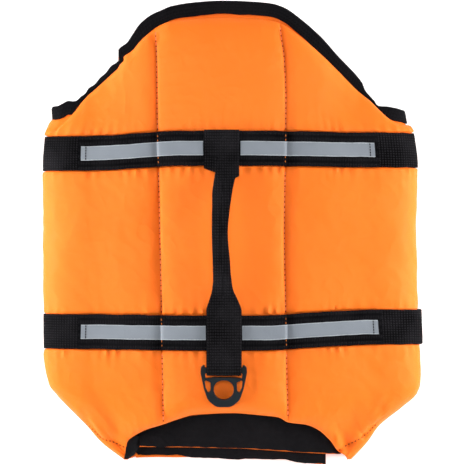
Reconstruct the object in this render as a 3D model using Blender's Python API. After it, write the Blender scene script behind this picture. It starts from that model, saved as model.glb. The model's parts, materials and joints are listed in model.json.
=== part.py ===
"""Dog life jacket, size medium, buckled and laid flat on its belly with the back up.

The jacket is a flattened tube. Its back is three foam channels, thickest in the middle, whose outer
two turn under at the side folds and go on as two belly flaps, the left one on the floor and the right
one lying on it. Everything is worked out from one ruled shape, frame_at(g, y): y runs from the tail
(-) to the neck (+), and g runs across the cloth, 0 at the middle of the back, 1 at a stitched seam,
2 to 3 round the side fold and 4 at the belly seam, negative on the left. Sizes are in millimetres
here and become metres where a mesh is made. The origin is on the floor under the middle.
"""

import math
from collections import namedtuple

import bmesh
import bpy
from mathutils import Matrix, Vector

MM = 0.001
SEAM_GAP = 0.3

# ---- driving sizes -------------------------------------------------------------------------------

CENTRE_DEPTH = 15.0
SIDE_DEPTH = 12.5
FOLD_DEPTH = 9.5
FOLD_SHARE = 0.3
STITCHED_DEPTH = 5.0
HEM_DEPTH = 3.0
LIP = 2.0
UNDER_RUN = 6.0

WEBBING = 25.4
WEBBING_DEPTH = 1.5
WEBBING_JOIN = 1.2
STRAP_SINK = WEBBING_DEPTH + SEAM_GAP
STRAP_SHOULDER = 6.0
STRAP_EDGE = WEBBING / 2 + SEAM_GAP + 0.8
STRAP_BRIDGE = 0.55
RIBBON_DEPTH = 0.8
TAPE_WIDTH = 10.4
TAPE_DEPTH = 0.6

BINDING_WIDTH = 10.0
BINDING_WALL = 1.2
BINDING_OUT = BINDING_WALL + SEAM_GAP
LIP_WIDTH = BINDING_WIDTH + 1.5
LEAN_FROM = 6.0
LEAN_OVER = 8.0
FRONT_ROOM = 5.0

LINING_GAP = 0.6
LINING_DEPTH = 1.0
LINING_SHORT = 1.6
LINING_END = -148.0

# The cloth's plan and heights, a row for each section from neck to tail. inside is the height of the
# foam's plain inner face, fold the full height of the side fold and reach how far it rounds inwards.
Station = namedtuple("Station", "y left_edge right_edge left_seam right_seam inside fold reach")
STATIONS = [
    Station(172, -135.5, 133.0, -57.0, 34.5, 19.0, 20, 30),
    Station(150, -135.5, 133.0, -56.0, 35.5, 21.0, 21, 30),
    Station(125, -135.5, 133.0, -54.8, 38.5, 25.0, 23, 30),
    Station(96, -135.5, 133.0, -54.5, 39.5, 28.5, 27, 30),
    Station(72, -138.6, 136.0, -54.0, 39.3, 30.5, 34, 31),
    Station(48, -139.0, 137.0, -53.4, 39.0, 31.0, 36, 32),
    Station(0, -138.6, 136.0, -52.4, 38.3, 31.0, 37, 32),
    Station(-52, -138.6, 138.0, -51.3, 39.2, 31.0, 36, 32),
    Station(-85, -138.4, 139.0, -50.8, 39.8, 30.5, 34, 31),
    Station(-112, -134.6, 138.0, -50.4, 40.4, 29.0, 31, 29),
    Station(-129, -119.5, 122.0, -50.1, 41.0, 27.0, 26, 24),
    Station(-143, -105.0, 106.8, -50.0, 41.3, 25.5, 19, 17),
    Station(-155, -95.0, 98.6, -50.0, 41.5, 23.0, 13, 11),
    Station(-170, -75.0, 86.0, -50.0, 41.6, 20.0, 8, 6),
]

# Neck and front-leg edge, a row for each place across: where the foam starts and where the cloth ends.
Front = namedtuple("Front", "x foam edge")
FRONT = [
    Front(-142, 79.0, 93.0),
    Front(-132, 79.0, 93.0),
    Front(-128, 79.5, 95.0),
    Front(-122, 82.5, 96.4),
    Front(-116, 88.0, 96.6),
    Front(-111, 95.5, 99.5),
    Front(-96, 110.5, 114.0),
    Front(-86, 119.5, 123.0),
    Front(-82.5, 122.5, 127.0),
    Front(-79, 127.5, 136.5),
    Front(-73, 134.5, 146.0),
    Front(-66, 142.5, 156.0),
    Front(-57, 149.0, 160.0),
    Front(-50, 152.5, 163.0),
    Front(-42.6, 153.0, 166.0),
    Front(-26, 153.5, 168.8),
    Front(-3, 154.0, 170.2),
    Front(20, 153.5, 168.8),
    Front(34, 152.5, 166.0),
    Front(42, 149.5, 162.0),
    Front(54, 141.5, 153.5),
    Front(67, 129.5, 142.0),
    Front(78, 119.0, 129.0),
    Front(92, 104.6, 115.0),
    Front(98, 98.5, 102.8),
    Front(104, 95.0, 99.0),
    Front(111, 88.5, 92.6),
    Front(118, 83.0, 92.2),
    Front(124, 80.0, 91.5),
    Front(131, 79.0, 89.0),
    Front(142, 79.0, 89.0),
]
FRONT_UNDER = 92.0
FOAM_UNDER = 80.0

# Tail hem, a row for each place across in g.
Hem = namedtuple("Hem", "g y")
HEMS = [
    Hem(-4.0, -165.5),
    Hem(-3.0, -167.0),
    Hem(-2.5, -168.6),
    Hem(-2.0, -166.0),
    Hem(-1.75, -159.5),
    Hem(-1.5, -152.6),
    Hem(-1.38, -149.2),
    Hem(-1.2, -144.6),
    Hem(-1.0, -140.9),
    Hem(-0.8, -137.5),
    Hem(-0.5, -133.8),
    Hem(0.1, -132.5),
    Hem(0.6, -134.2),
    Hem(0.85, -135.6),
    Hem(1.0, -139.2),
    Hem(1.2, -141.0),
    Hem(1.36, -145.6),
    Hem(1.5, -151.6),
    Hem(1.72, -161.6),
    Hem(2.0, -165.6),
    Hem(2.5, -168.0),
    Hem(3.0, -164.0),
    Hem(4.0, -162.0),
]

# How foam swells from a stitched edge: at the front it leans out over the binding, at the tail it rounds
# down to the hem. back and ahead are distances from the foam's edge, swell is the share of its depth.
FoamFront = namedtuple("FoamFront", "lean back swell")
FOAM_FRONT = [
    FoamFront(0.0, 0.3, 0.34),
    FoamFront(0.8, 0.0, 0.38),
    FoamFront(1.0, 0.4, 0.60),
    FoamFront(1.0, 3.0, 0.84),
    FoamFront(1.0, 7.0, 0.96),
    FoamFront(1.0, 12.0, 1.0),
]
FoamTail = namedtuple("FoamTail", "ahead swell")
FOAM_TAIL = [
    FoamTail(15.0, 1.0),
    FoamTail(9.0, 0.93),
    FoamTail(4.5, 0.76),
    FoamTail(1.6, 0.50),
    FoamTail(0.3, 0.22),
    FoamTail(0.0, 0.0),
]

# Straps, by the height of their middle line on the back and at the two side folds.
Strap = namedtuple("Strap", "name middle left right")
STRAPS = [
    Strap("front", 61.2, 57.6, 60.2),
    Strap("rear", -73.2, -72.6, -69.2),
]
Tape = namedtuple("Tape", "side start end")
TAPES = [Tape("left", -2.03, -0.292), Tape("right", 0.294, 2.02)]
RIBBON_ENDS = (-2.05, 2.04)

# Where the columns of the cloth's grid lie.
CENTRE_COLUMNS = [0.0, 0.3, 0.58, 0.76, 0.88, 0.96, 1.0]
ROOF_COLUMNS = [1.0, 1.05, 1.12, 1.2, 1.28, 1.38, 1.48, 1.6, 1.72, 1.86, 2.0]
FOLD_COLUMNS = [2.14, 2.28, 2.42, 2.56, 2.7, 2.85, 3.0, 4.0]
LINING_COLUMNS = [0.0, 1.0, 1.28, 1.48, 1.6, 1.72, 1.86, 2.0, 2.28, 2.56, 2.85, 3.0, 3.8]

# The binding's section, folded over the lip: along is 0 at its sewn edge and 1 at the lip's tip, past is
# how far it lies beyond the tip and off how far from the lip's middle, outside and inside the fold.
Fold = namedtuple("Fold", "along past off inner_past inner_off")
BINDING_HALF = LIP / 2 + BINDING_OUT
LIP_HALF = LIP / 2 + SEAM_GAP
BINDING_FOLD = [
    Fold(0.0, 0.0, BINDING_HALF, 0.0, LIP_HALF),
    Fold(1.0, 0.0, BINDING_HALF, 0.0, LIP_HALF),
    Fold(1.0, BINDING_OUT, 1.2, SEAM_GAP, 0.6),
    Fold(1.0, BINDING_OUT, -1.2, SEAM_GAP, -0.6),
    Fold(1.0, 0.0, -BINDING_HALF, 0.0, -LIP_HALF),
    Fold(0.0, 0.0, -BINDING_HALF, 0.0, -LIP_HALF),
]

# Belly flaps, by the x of their free ends. Their thin ends taper over FREE_TAPER, and the right flap
# climbs from the floor onto the left one between its seam and CLIMB_END.
LEFT_FREE_END = 67.6
RIGHT_FREE_END = -68.0
FREE_TAPER = 14.0
CLIMB_END = 69.5
RIGHT_FLAP_DEPTH = 7.0
FLAP_GAP = 1.2
SCOOP = 8.0
LEFT_COLUMNS = [-54.0, 0.0, 40.0, 53.6, 60.6, LEFT_FREE_END]
RIGHT_COLUMNS = [CLIMB_END, 60.6, 53.6, 10.0, -30.0, -54.0, RIGHT_FREE_END]
# Which of the cloth's rows the flaps and their linings share, and where the tail's own rows begin.
FLAP_ROWS = [0, 1, 2, 4, 7, 12, 15, 16, 19, 21, 22, 23, 24, 25, 26, 27, 29]
LINED_ROWS = [4, 7, 12, 15, 16, 19, 21, 22, 23, 24, 25, 26, 27]
TAIL_ROW = 24
FlapHem = namedtuple("FlapHem", "x y")
LEFT_HEM = [FlapHem(-72, -165.5), FlapHem(-45, -165.0), FlapHem(0, -166.2), FlapHem(43, -166.9),
            FlapHem(56, -169.6), FlapHem(67.6, -170.2)]
RIGHT_HEM = [FlapHem(-68, -156.4), FlapHem(0, -157.2), FlapHem(32, -159.2), FlapHem(78, -162.0)]

# Handle: its middle line's height above the back's cloth, its two sides and its depth, from the neck
# end to where it goes round the ring's bar, and then back beneath itself.
Webbed = namedtuple("Webbed", "y lift left right depth")
HANDLE_TOP = [
    Webbed(74.6, 2.15, -20.0, 5.4, 1.5),
    Webbed(60.0, 2.15, -20.0, 5.4, 1.5),
    Webbed(52.0, 2.3, -20.0, 5.4, 1.5),
    Webbed(46.5, 4.0, -19.0, 4.6, 1.7),
    Webbed(41.0, 6.6, -16.6, 2.4, 2.4),
    Webbed(34.0, 9.2, -15.0, -0.6, 3.2),
    Webbed(18.0, 12.4, -14.6, -2.0, 3.4),
    Webbed(-5.0, 13.6, -14.3, -2.6, 3.4),
    Webbed(-28.0, 11.8, -13.9, -2.2, 3.4),
    Webbed(-42.0, 9.0, -14.2, -0.8, 3.2),
    Webbed(-50.0, 6.8, -15.8, 2.6, 2.4),
    Webbed(-57.0, 5.0, -18.0, 6.8, 1.7),
    Webbed(-64.0, 4.05, -18.4, 7.2, 1.5),
    Webbed(-84.0, 4.15, -18.4, 7.2, 1.5),
    Webbed(-91.0, 5.7, -18.4, 7.2, 1.5),
    Webbed(-96.0, 7.3, -18.4, 7.2, 1.5),
]
HANDLE_UNDER = [
    Webbed(-95.0, 1.25, -18.4, 7.2, 1.5),
    Webbed(-89.0, 1.45, -18.4, 7.2, 1.5),
    Webbed(-84.5, 2.15, -18.4, 7.2, 1.5),
    Webbed(-61.5, 2.15, -18.4, 7.2, 1.5),
]
LOOP_STEPS = 8
HANDLE_G = 0.0

# Lead ring: a flat D of plastic on a bar. Its outlines are drawn from the bar's middle line, x across and
# v towards the tail; each corner has its own radius.
RING_X = -5.8
RING_BAR_Y = -100.3
RING_BAR_LIFT = 4.7
RING_LOOP_RADIUS = 3.25
RING_DEPTH = 3.4
RING_EDGE = 0.6
RING_TILT = 12.5
BAR_HALF = 1.8
RING_HALF = 16.8
RING_BEND = 8.0
RING_LENGTH = 27.4
BEND_STEPS = 16
Corner = namedtuple("Corner", "x v radius")
HORN = [Corner(-RING_HALF, -4.2, 1.4), Corner(-13.9, -4.2, 1.0), Corner(-13.9, -BAR_HALF, 0.5)]
WEBBING_SLOT = [Corner(-13.6, BAR_HALF, 0.6), Corner(13.6, BAR_HALF, 0.6), Corner(13.6, 4.9, 0.6), Corner(-13.6, 4.9, 0.6)]
CLIP_HOLE = [Corner(-7.3, 7.2, 4.5), Corner(7.3, 7.2, 4.5), Corner(7.3, 21.6, 6.5), Corner(-7.3, 21.6, 6.5)]
SIDE_WINDOW = [Corner(9.6, 7.2, 1.2), Corner(14.0, 7.2, 1.2), Corner(13.0, 14.5, 1.4), Corner(9.6, 17.0, 1.0)]

# Buckles under the belly, flat on the cloth's side of their webbing, which goes through each end slot.
BUCKLE_BOTTOM = WEBBING_DEPTH + SEAM_GAP
BUCKLE_DEPTH = 4.0
BUCKLE_EDGE = 0.6
BUCKLE_HALF = 28.0
BUCKLE_HALF_WIDTH = 16.5
END_BAR = 4.0
END_SLOT = 3.6
SLOT_HALF = 13.6
SLOT_RADIUS = 0.5
BUCKLE_OUTLINE = [Corner(-BUCKLE_HALF, -BUCKLE_HALF_WIDTH, 3.0), Corner(BUCKLE_HALF, -BUCKLE_HALF_WIDTH, 3.0),
                  Corner(BUCKLE_HALF, BUCKLE_HALF_WIDTH, 3.0), Corner(-BUCKLE_HALF, BUCKLE_HALF_WIDTH, 3.0)]
PRONG_WINDOW = [Corner(-9.0, 8.0, 1.5), Corner(9.0, 8.0, 1.5), Corner(9.0, 13.0, 2.0), Corner(-9.0, 13.0, 2.0)]
TAIL_LENGTH = 16.0
POCKET_HALF = (43.0, 18.5)
POCKET_DEPTH = 7.9
GROOVE_HALF = 14.9
CUTTER_BELOW = 5.0
CORNER_STEPS = 2

# ---- helpers -------------------------------------------------------------------------------------


def lerp(a, b, t):
    return a + (b - a) * t


def clamp(value, low=0.0, high=1.0):
    return max(low, min(high, value))


def ease(t):
    t = clamp(t)
    return t * t * (3 - 2 * t)


def read(table, key, column, at):
    """A column of a table at any place along its key, as a smooth curve with no overshoot."""
    rows = sorted(table, key=lambda row: getattr(row, key))
    keys = [getattr(row, key) for row in rows]
    values = [getattr(row, column) for row in rows]
    at = clamp(at, keys[0], keys[-1])
    i = max(k for k in range(len(keys) - 1) if keys[k] <= at)
    spans = [b - a for a, b in zip(keys, keys[1:])]
    slopes = [(b - a) / span for a, b, span in zip(values, values[1:], spans)]

    def tangent(k):
        if k == 0 or k == len(slopes):
            return slopes[min(k, len(slopes) - 1)]
        before, after = slopes[k - 1], slopes[k]
        if before * after <= 0:
            return 0.0
        return 2 * before * after / (before + after)

    t = (at - keys[i]) / spans[i]
    start, end = values[i], values[i + 1]
    bend_in, bend_out = tangent(i) * spans[i], tangent(i + 1) * spans[i]
    return (
        (2 * t**3 - 3 * t**2 + 1) * start
        + (t**3 - 2 * t**2 + t) * bend_in
        + (3 * t**2 - 2 * t**3) * end
        + (t**3 - t**2) * bend_out
    )


def material(name, colour, roughness):
    made = bpy.data.materials.new(name)
    made.use_nodes = True
    shader = made.node_tree.nodes["Principled BSDF"]
    shader.inputs["Base Color"].default_value = (*colour, 1.0)
    shader.inputs["Roughness"].default_value = roughness
    shader.inputs["Metallic"].default_value = 0.0
    return made


def place(obj, finish, parent):
    obj.data.materials.append(finish)
    bpy.context.scene.collection.objects.link(obj)
    obj.parent = parent
    return obj


def two_skins(name, outer, inner, finish, parent):
    """A closed wall between two grids of points of the same shape, each a list of rows of (x, y, z)."""
    rows, columns = len(outer), len(outer[0])
    bm = bmesh.new()
    bmesh.ops.create_grid(bm, x_segments=columns - 1, y_segments=rows - 1, size=1.0)
    made = bmesh.ops.extrude_face_region(bm, geom=bm.faces[:], use_keep_orig=True)
    copies = {item for item in made["geom"] if isinstance(item, bmesh.types.BMVert)}
    for vert in bm.verts:
        column = round((vert.co.x + 1) / 2 * (columns - 1))
        row = round((vert.co.y + 1) / 2 * (rows - 1))
        skin = outer if vert in copies else inner
        vert.co = Vector(skin[row][column]) * MM
    bmesh.ops.recalc_face_normals(bm, faces=bm.faces[:])
    if bm.calc_volume(signed=True) < 0:
        bmesh.ops.reverse_faces(bm, faces=bm.faces[:])
    mesh = bpy.data.meshes.new(name)
    bm.to_mesh(mesh)
    bm.free()
    mesh.shade_smooth()
    mesh.set_sharp_from_angle(angle=math.radians(40))
    return place(bpy.data.objects.new(name, mesh), finish, parent)


# ---- the cloth's shape ---------------------------------------------------------------------------

Frame = namedtuple("Frame", "x z out_x out_z upper depth")


def frame_at(g, y):
    """The cloth's full outer face at (g, y), its outward direction, how far it counts as upper cloth
    (1 on the back, whose inner face is plain, 0 underneath, whose outer face is flat) and its depth."""
    side = -1.0 if g < 0 else 1.0
    across = abs(g)
    seams = read(STATIONS, "y", "left_seam", y), read(STATIONS, "y", "right_seam", y)
    inside = read(STATIONS, "y", "inside", y)
    if across <= 1:
        return Frame(lerp(*seams, (g + 1) / 2), inside + CENTRE_DEPTH, 0.0, 1.0, 1.0, CENTRE_DEPTH)
    fold, reach = read(STATIONS, "y", "fold", y), read(STATIONS, "y", "reach", y)
    edge = read(STATIONS, "y", "left_edge" if side < 0 else "right_edge", y)
    fold_depth = min(FOLD_DEPTH, FOLD_SHARE * fold)
    fold_start = edge - side * reach
    if across <= 2:
        along = ease(across - 1)
        depth = lerp(SIDE_DEPTH, fold_depth, along)
        face = lerp(inside, fold - fold_depth, along) + depth
        return Frame(lerp(seams[side > 0], fold_start, across - 1), face, 0.0, 1.0, 1.0, depth)
    if across <= 3:
        turn = math.pi * (across - 2)
        out_x, out_z = side * math.sin(turn), math.cos(turn)
        upper = (1 + out_z) / 2
        return Frame(fold_start + reach * out_x, fold * upper, out_x, out_z, upper, fold_depth)
    return Frame(fold_start - side * UNDER_RUN * (across - 3), 0.0, 0.0, -1.0, 0.0, fold_depth)


def quilted(g, depth, bridge=0.0):
    """The depth left at g after the seams pull the foam in. bridge is the share of that dip spanned."""
    across = abs(g)
    if across <= 1:
        swell = math.sqrt(1 - across**4.5)
    else:
        swell = math.sqrt(1 - (1 - clamp((across - 1) / 0.3)) ** 2.2)
    swell = lerp(swell, 1.0, bridge)
    return lerp(STITCHED_DEPTH, depth, swell)


def skins(g, y, swell=1.0, sink=0.0, bridge=0.0, lip=False):
    """The outer and inner points of the cloth at (g, y). swell is the foam's share of its full depth,
    sink how far a strap presses the outer face in, and lip marks the thin edge under the binding."""
    frame = frame_at(g, y)
    full = quilted(g, frame.depth, bridge)
    thin = LIP if lip else HEM_DEPTH
    depth = lerp(min(thin, full), full, swell)
    from_face = (frame.depth - depth) * frame.upper
    if lip:
        from_face += BINDING_OUT * (1 - frame.upper) * (1 - swell)

    def moved(inwards):
        return (frame.x - frame.out_x * inwards, y, frame.z - frame.out_z * inwards)

    return moved(from_face + sink), moved(from_face + depth)


def front_at(g):
    """(foam edge, cloth edge, slant) at g. The slant is how much longer a step across the edge gets
    when it is measured along y."""
    side = -1.0 if g < 0 else 1.0
    if abs(g) > 2.5:
        under = ease((abs(g) - 2.5) / 0.5)
        at_side = 142 * side
        foam, edge = read(FRONT, "x", "foam", at_side), read(FRONT, "x", "edge", at_side)
        return lerp(foam, FOAM_UNDER, under), lerp(edge, FRONT_UNDER, under), 1.0
    x = frame_at(g, 110).x
    foam, edge = read(FRONT, "x", "foam", x), read(FRONT, "x", "edge", x)
    slope = (read(FRONT, "x", "edge", x + 4) - read(FRONT, "x", "edge", x - 4)) / 8
    return foam, edge, min(1.45, math.hypot(1, slope))


def strap_line(strap, g):
    """The y of a strap's middle line at g."""
    end = strap.left if g < 0 else strap.right
    return lerp(strap.middle, end, ease((abs(g) - 0.6) / 1.4))


Row = namedtuple("Row", "y inner_y swell sink lip")


def plain_row(y, swell=1.0, sink=0.0):
    return Row(y, y, swell, sink, False)


def root_at(g, foam, edge, slant):
    """Where the thin lip meets the foam: under the foam's end where the binding is tucked beneath it."""
    room = clamp((quilted(g, frame_at(g, foam).depth) - LEAN_FROM) / LEAN_OVER)
    front = strap_line(STRAPS[0], g) + STRAP_EDGE
    return max(lerp(foam, min(foam, edge - LIP_WIDTH * slant), room), front + FRONT_ROOM)


def front_rows(g):
    """The thin lip that the binding covers, the foam's front end and one plain row behind it."""
    foam, edge, slant = front_at(g)
    root = root_at(g, foam, edge, slant)
    foam = max(foam, root)
    tip = edge - BINDING_OUT * slant
    rows = [Row(tip, tip, 0.0, 0.0, True), Row(root, root, 0.0, 0.0, True)]
    strap_edge = strap_line(STRAPS[0], g) + STRAP_EDGE
    squeeze = min(1.0, (foam - strap_edge - 1.0) / FOAM_FRONT[-1].back)
    swollen = foam - FOAM_FRONT[-1].back * squeeze
    plain = min(lerp(swollen, strap_edge, 0.3), root - 2.0)
    for k, step in enumerate(FOAM_FRONT):
        inner = lerp(root, plain, (k + 1) / (len(FOAM_FRONT) + 1))
        rows.append(Row(lerp(root, foam, step.lean) - step.back * squeeze, inner, step.swell, 0.0, True))
    return rows + [plain_row(plain)]


def strap_rows(middle, shoulder):
    """The rows across a strap, which is pressed into the foam between two soft shoulders."""
    half = WEBBING / 2 + SEAM_GAP
    rows = [plain_row(middle + half + shoulder)]
    rows += [plain_row(middle + half + 0.4, sink=0.4 * STRAP_SINK), plain_row(middle + half, sink=STRAP_SINK)]
    rows += [plain_row(middle - half, sink=STRAP_SINK), plain_row(middle - half - 0.4, sink=0.4 * STRAP_SINK)]
    return rows + [plain_row(middle - half - STRAP_SHOULDER)]


def cloth_rows(g):
    """The rows of one column of the back's cloth, from the neck edge to the tail hem."""
    front, rear = (strap_line(strap, g) for strap in STRAPS)
    rows = front_rows(g)
    room = rows[-1].y - front - STRAP_EDGE
    rows += strap_rows(front, 0.8 + min(STRAP_SHOULDER - 0.8, 0.5 * room))
    start, end = rows[-1].y, rear + WEBBING / 2 + SEAM_GAP + STRAP_SHOULDER
    rows += [plain_row(lerp(start, end, 0.5))] + strap_rows(rear, STRAP_SHOULDER)
    hem = read(HEMS, "g", "y", g)
    start, end = rows[-1].y, hem + FOAM_TAIL[0].ahead
    rows += [plain_row(lerp(start, end, share)) for share in (0.33, 0.66)]
    return rows + [plain_row(hem + step.ahead, step.swell) for step in FOAM_TAIL]


def cloth_grid(columns):
    """Outer and inner grids of the cloth, a line for each (g, shift in x) of columns."""
    outer, inner = [], []
    for g, shift in columns:
        outer_line, inner_line = [], []
        for row in cloth_rows(g):
            x, y, z = skins(g, row.y, row.swell, row.sink, lip=row.lip)[0]
            outer_line.append((x + shift, y, z))
            x, y, z = skins(g, row.inner_y, row.swell, row.sink, lip=row.lip)[1]
            inner_line.append((x + shift, y, z))
        outer.append(outer_line)
        inner.append(inner_line)
    return outer, inner


def off_cloth(g, y, lift, bridge=STRAP_BRIDGE):
    """A point moved out from the cloth's outer face, which is bridged over the seams."""
    return skins(g, y, sink=-lift, bridge=bridge)[0]


def mirrored(columns):
    """Columns from -last to last, for a list that starts at the middle."""
    return [-g for g in reversed(columns) if g > 0] + list(columns)


ALL_COLUMNS = mirrored(CENTRE_COLUMNS + ROOF_COLUMNS[1:] + FOLD_COLUMNS)


def between(start, end):
    return [start] + [g for g in ALL_COLUMNS if start + 0.01 < g < end - 0.01] + [end]


# ---- pieces --------------------------------------------------------------------------------------


def make_back(finish, parent):
    half = SEAM_GAP / 2
    centre = [(g, -half * round(g) if abs(g) == 1 else 0.0) for g in mirrored(CENTRE_COLUMNS)]
    two_skins("back_centre_panel", *cloth_grid(centre), finish, parent)
    for name, side in (("side_panel_left", -1), ("side_panel_right", 1)):
        columns = [(side * g, side * half if g == 1 else 0.0) for g in ROOF_COLUMNS + FOLD_COLUMNS]
        two_skins(name, *cloth_grid(columns), finish, parent)


def make_binding(finish, parent):
    outer, inner = [], []
    for g in ALL_COLUMNS:
        foam, edge, slant = front_at(g)
        root = root_at(g, foam, edge, slant)
        tip = edge - BINDING_OUT * slant
        sewn = max(edge - BINDING_WIDTH * slant, root + 0.6)
        outer_line, inner_line = [], []
        for fold in BINDING_FOLD:
            y = lerp(sewn, tip, fold.along)
            faces = skins(g, y, swell=0.0, lip=True)
            frame = frame_at(g, y)
            x, z = (faces[0][0] + faces[1][0]) / 2, (faces[0][2] + faces[1][2]) / 2
            for line, past, off in ((outer_line, fold.past, fold.off), (inner_line, fold.inner_past, fold.inner_off)):
                line.append((x + frame.out_x * off, y + past * slant, z + frame.out_z * off))
        outer.append(outer_line)
        inner.append(inner_line)
    two_skins("neck_binding", outer, inner, finish, parent)


def band(name, strap, columns, width, low, high, finish, parent):
    """A flat length of webbing, ribbon or tape between two heights above a strap's outer face."""
    rows = (width / 2, -width / 2)
    skin =[[[off_cloth(g, strap_line(strap, g) + y, lift) for y in rows] for g in columns] for lift in (high, low)]
    return two_skins(name, *skin, finish, parent)


def make_straps(webbing, ribbon, tape, parent):
    ribbon_low, tape_low = SEAM_GAP, 2 * SEAM_GAP + RIBBON_DEPTH
    for strap in STRAPS:
        band(f"webbing_{strap.name}", strap, ALL_COLUMNS, WEBBING, -WEBBING_DEPTH, 0.0, webbing, parent)
        columns = between(*RIBBON_ENDS)
        band(f"ribbon_{strap.name}", strap, columns, WEBBING, ribbon_low, ribbon_low + RIBBON_DEPTH, ribbon, parent)
        for side, start, end in TAPES:
            name = f"reflective_tape_{strap.name}_{side}"
            band(name, strap, between(start, end), TAPE_WIDTH, tape_low, tape_low + TAPE_DEPTH, tape, parent)


def left_flap_top(x, y):
    """The height of the left flap's upper face, which carries the right flap."""
    full = frame_at(-4.0, y).depth
    hem = min(HEM_DEPTH, full)
    swell = min(1.0, max(0.0, (LEFT_FREE_END - x) / FREE_TAPER))
    ahead = y - read(LEFT_HEM, "x", "y", x)
    swell *= read(FOAM_TAIL, "ahead", "swell", ahead)
    return lerp(hem, full, swell)


def flap_grid(side):
    """Lines of (x, y, bottom, top, row) for a belly flap, from its seam to its free end."""
    right = side > 0
    rows = cloth_rows(4.0 * side)
    hems, fixed = (RIGHT_HEM, RIGHT_COLUMNS) if right else (LEFT_HEM, LEFT_COLUMNS)
    lines = []
    for share, fixed_x in [(0.0, None), (0.35, None), (0.7, None)] + [(1.0, x) for x in fixed]:
        line = []
        for k in FLAP_ROWS:
            row = rows[k]
            seam = frame_at(4.0 * side, row.inner_y).x - side * SEAM_GAP
            x = lerp(seam, fixed[0], share) if fixed_x is None else fixed_x
            y = row.inner_y - (SCOOP * (1 - (x / seam) ** 2) if row.lip else 0.0)
            if k >= TAIL_ROW and share > 0:
                y += read(hems, "x", "y", x) - rows[-1].y
            full = frame_at(4.0 * side, row.inner_y).depth
            bottom = (BINDING_OUT if row.lip else 0.0) * (1 - row.swell)
            if right:
                full = lerp(full, min(RIGHT_FLAP_DEPTH, full), share)
                over = left_flap_top(min(x, LEFT_FREE_END), y)
                bottom += share * (over + LINING_GAP + LINING_DEPTH + FLAP_GAP)
            depth = lerp(LIP if row.lip else min(HEM_DEPTH, full), full, row.swell)
            taper = clamp((fixed[-1] - x) * -side / FREE_TAPER)
            line.append((x, y, bottom, bottom + lerp(min(depth, HEM_DEPTH), depth, taper), k))
        lines.append(line)
    return lines


def make_flaps(orange, lining, parent):
    flaps = {}
    for name, side in (("left", -1), ("right", 1)):
        lines = flap_grid(side)
        tops = [[(x, y, top) for x, y, _, top, _ in line] for line in lines]
        bottoms = [[(x, y, bottom) for x, y, bottom, _, _ in line] for line in lines]
        flaps[name] = two_skins(f"belly_flap_{name}", tops, bottoms, orange, parent)
        low, high = ([[(x, y, top + lift) for x, y, _, top, k in line if k in LINED_ROWS] for line in lines]
                     for lift in (LINING_GAP, LINING_GAP + LINING_DEPTH))
        two_skins(f"belly_lining_{name}", high, low, lining, parent)
    return flaps


def make_back_lining(finish, parent):
    outer, inner = [], []
    for g in mirrored(LINING_COLUMNS):
        rows = cloth_rows(g)
        last, end = rows[TAIL_ROW - 1].y, max(rows[-1].y + LINING_SHORT, LINING_END)
        lined = [rows[k].inner_y for k in LINED_ROWS if k < TAIL_ROW]
        outer_line, inner_line = [], []
        for y in lined + [lerp(last, end, share) for share in (0.35, 0.7, 1.0)]:
            frame = frame_at(g, y)
            x, _, z = skins(g, y)[1]
            for line, inset in ((outer_line, LINING_GAP), (inner_line, LINING_GAP + LINING_DEPTH)):
                line.append((x - frame.out_x * inset, y, z - frame.out_z * inset))
        outer.append(outer_line)
        inner.append(inner_line)
    two_skins("back_lining", outer, inner, finish, parent)


def back_height(y):
    """The height of the back's cloth under the handle and the ring."""
    return off_cloth(HANDLE_G, y, 0.0, bridge=1.0)[2]


def handle_line():
    """The handle's middle line as rows of (y, z, left, right, depth)."""
    line = [(row.y, back_height(row.y) + row.lift, row.left, row.right, row.depth) for row in HANDLE_TOP]
    last = HANDLE_TOP[-1]
    bar_z = back_height(RING_BAR_Y) + RING_BAR_LIFT
    for k in range(LOOP_STEPS + 1):
        turn = math.pi * k / LOOP_STEPS
        y = RING_BAR_Y - RING_LOOP_RADIUS * math.sin(turn)
        line.append((y, bar_z + RING_LOOP_RADIUS * math.cos(turn), last.left, last.right, last.depth))
    return line + [(row.y, back_height(row.y) + row.lift, row.left, row.right, row.depth) for row in HANDLE_UNDER]


def webbing_strip(name, line, across, finish, parent):
    """Webbing swept along rows of (a, z, left, right, depth), a being y or x, with rounded sides."""
    outer, inner = [], []
    for i, (a, z, left, right, depth) in enumerate(line):
        before, after = line[max(i - 1, 0)], line[min(i + 1, len(line) - 1)]
        run = Vector((after[0] - before[0], after[1] - before[1])).normalized()
        lines = ([], [])
        for share, thick in across:
            half = depth / 2 * thick
            for skin, sign in zip(lines, (1, -1)):
                skin.append((lerp(left, right, share), a + sign * run.y * half, z - sign * run.x * half))
        outer.append(lines[0])
        inner.append(lines[1])
    return two_skins(name, outer, inner, finish, parent)


STRIP_ACROSS = [(0.0, 0.55), (0.05, 1.0), (0.95, 1.0), (1.0, 0.55)]


def rounded(corners):
    """An outline with each corner turned on its radius."""
    outline = []
    for i, corner in enumerate(corners):
        here = Vector((corner.x, corner.v))
        if not corner.radius:
            outline.append(here)
            continue
        before = (Vector(corners[i - 1][:2]) - here).normalized()
        after = (Vector(corners[(i + 1) % len(corners)][:2]) - here).normalized()
        half = before.angle(after) / 2
        centre = here + (before + after).normalized() * corner.radius / math.sin(half)
        start = here + before * corner.radius / math.tan(half) - centre
        end = here + after * corner.radius / math.tan(half) - centre
        swing = start.angle_signed(end)
        for k in range(CORNER_STEPS + 1):
            outline.append(centre + Matrix.Rotation(-swing * k / CORNER_STEPS, 2) @ start)
    return outline


def flipped(corners, across):
    """Corners mirrored in x where across is true and in v where it isn't, in the order that keeps their turn."""
    return [Corner(-c.x, c.v, c.radius) if across else Corner(c.x, -c.v, c.radius) for c in reversed(corners)]


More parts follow.
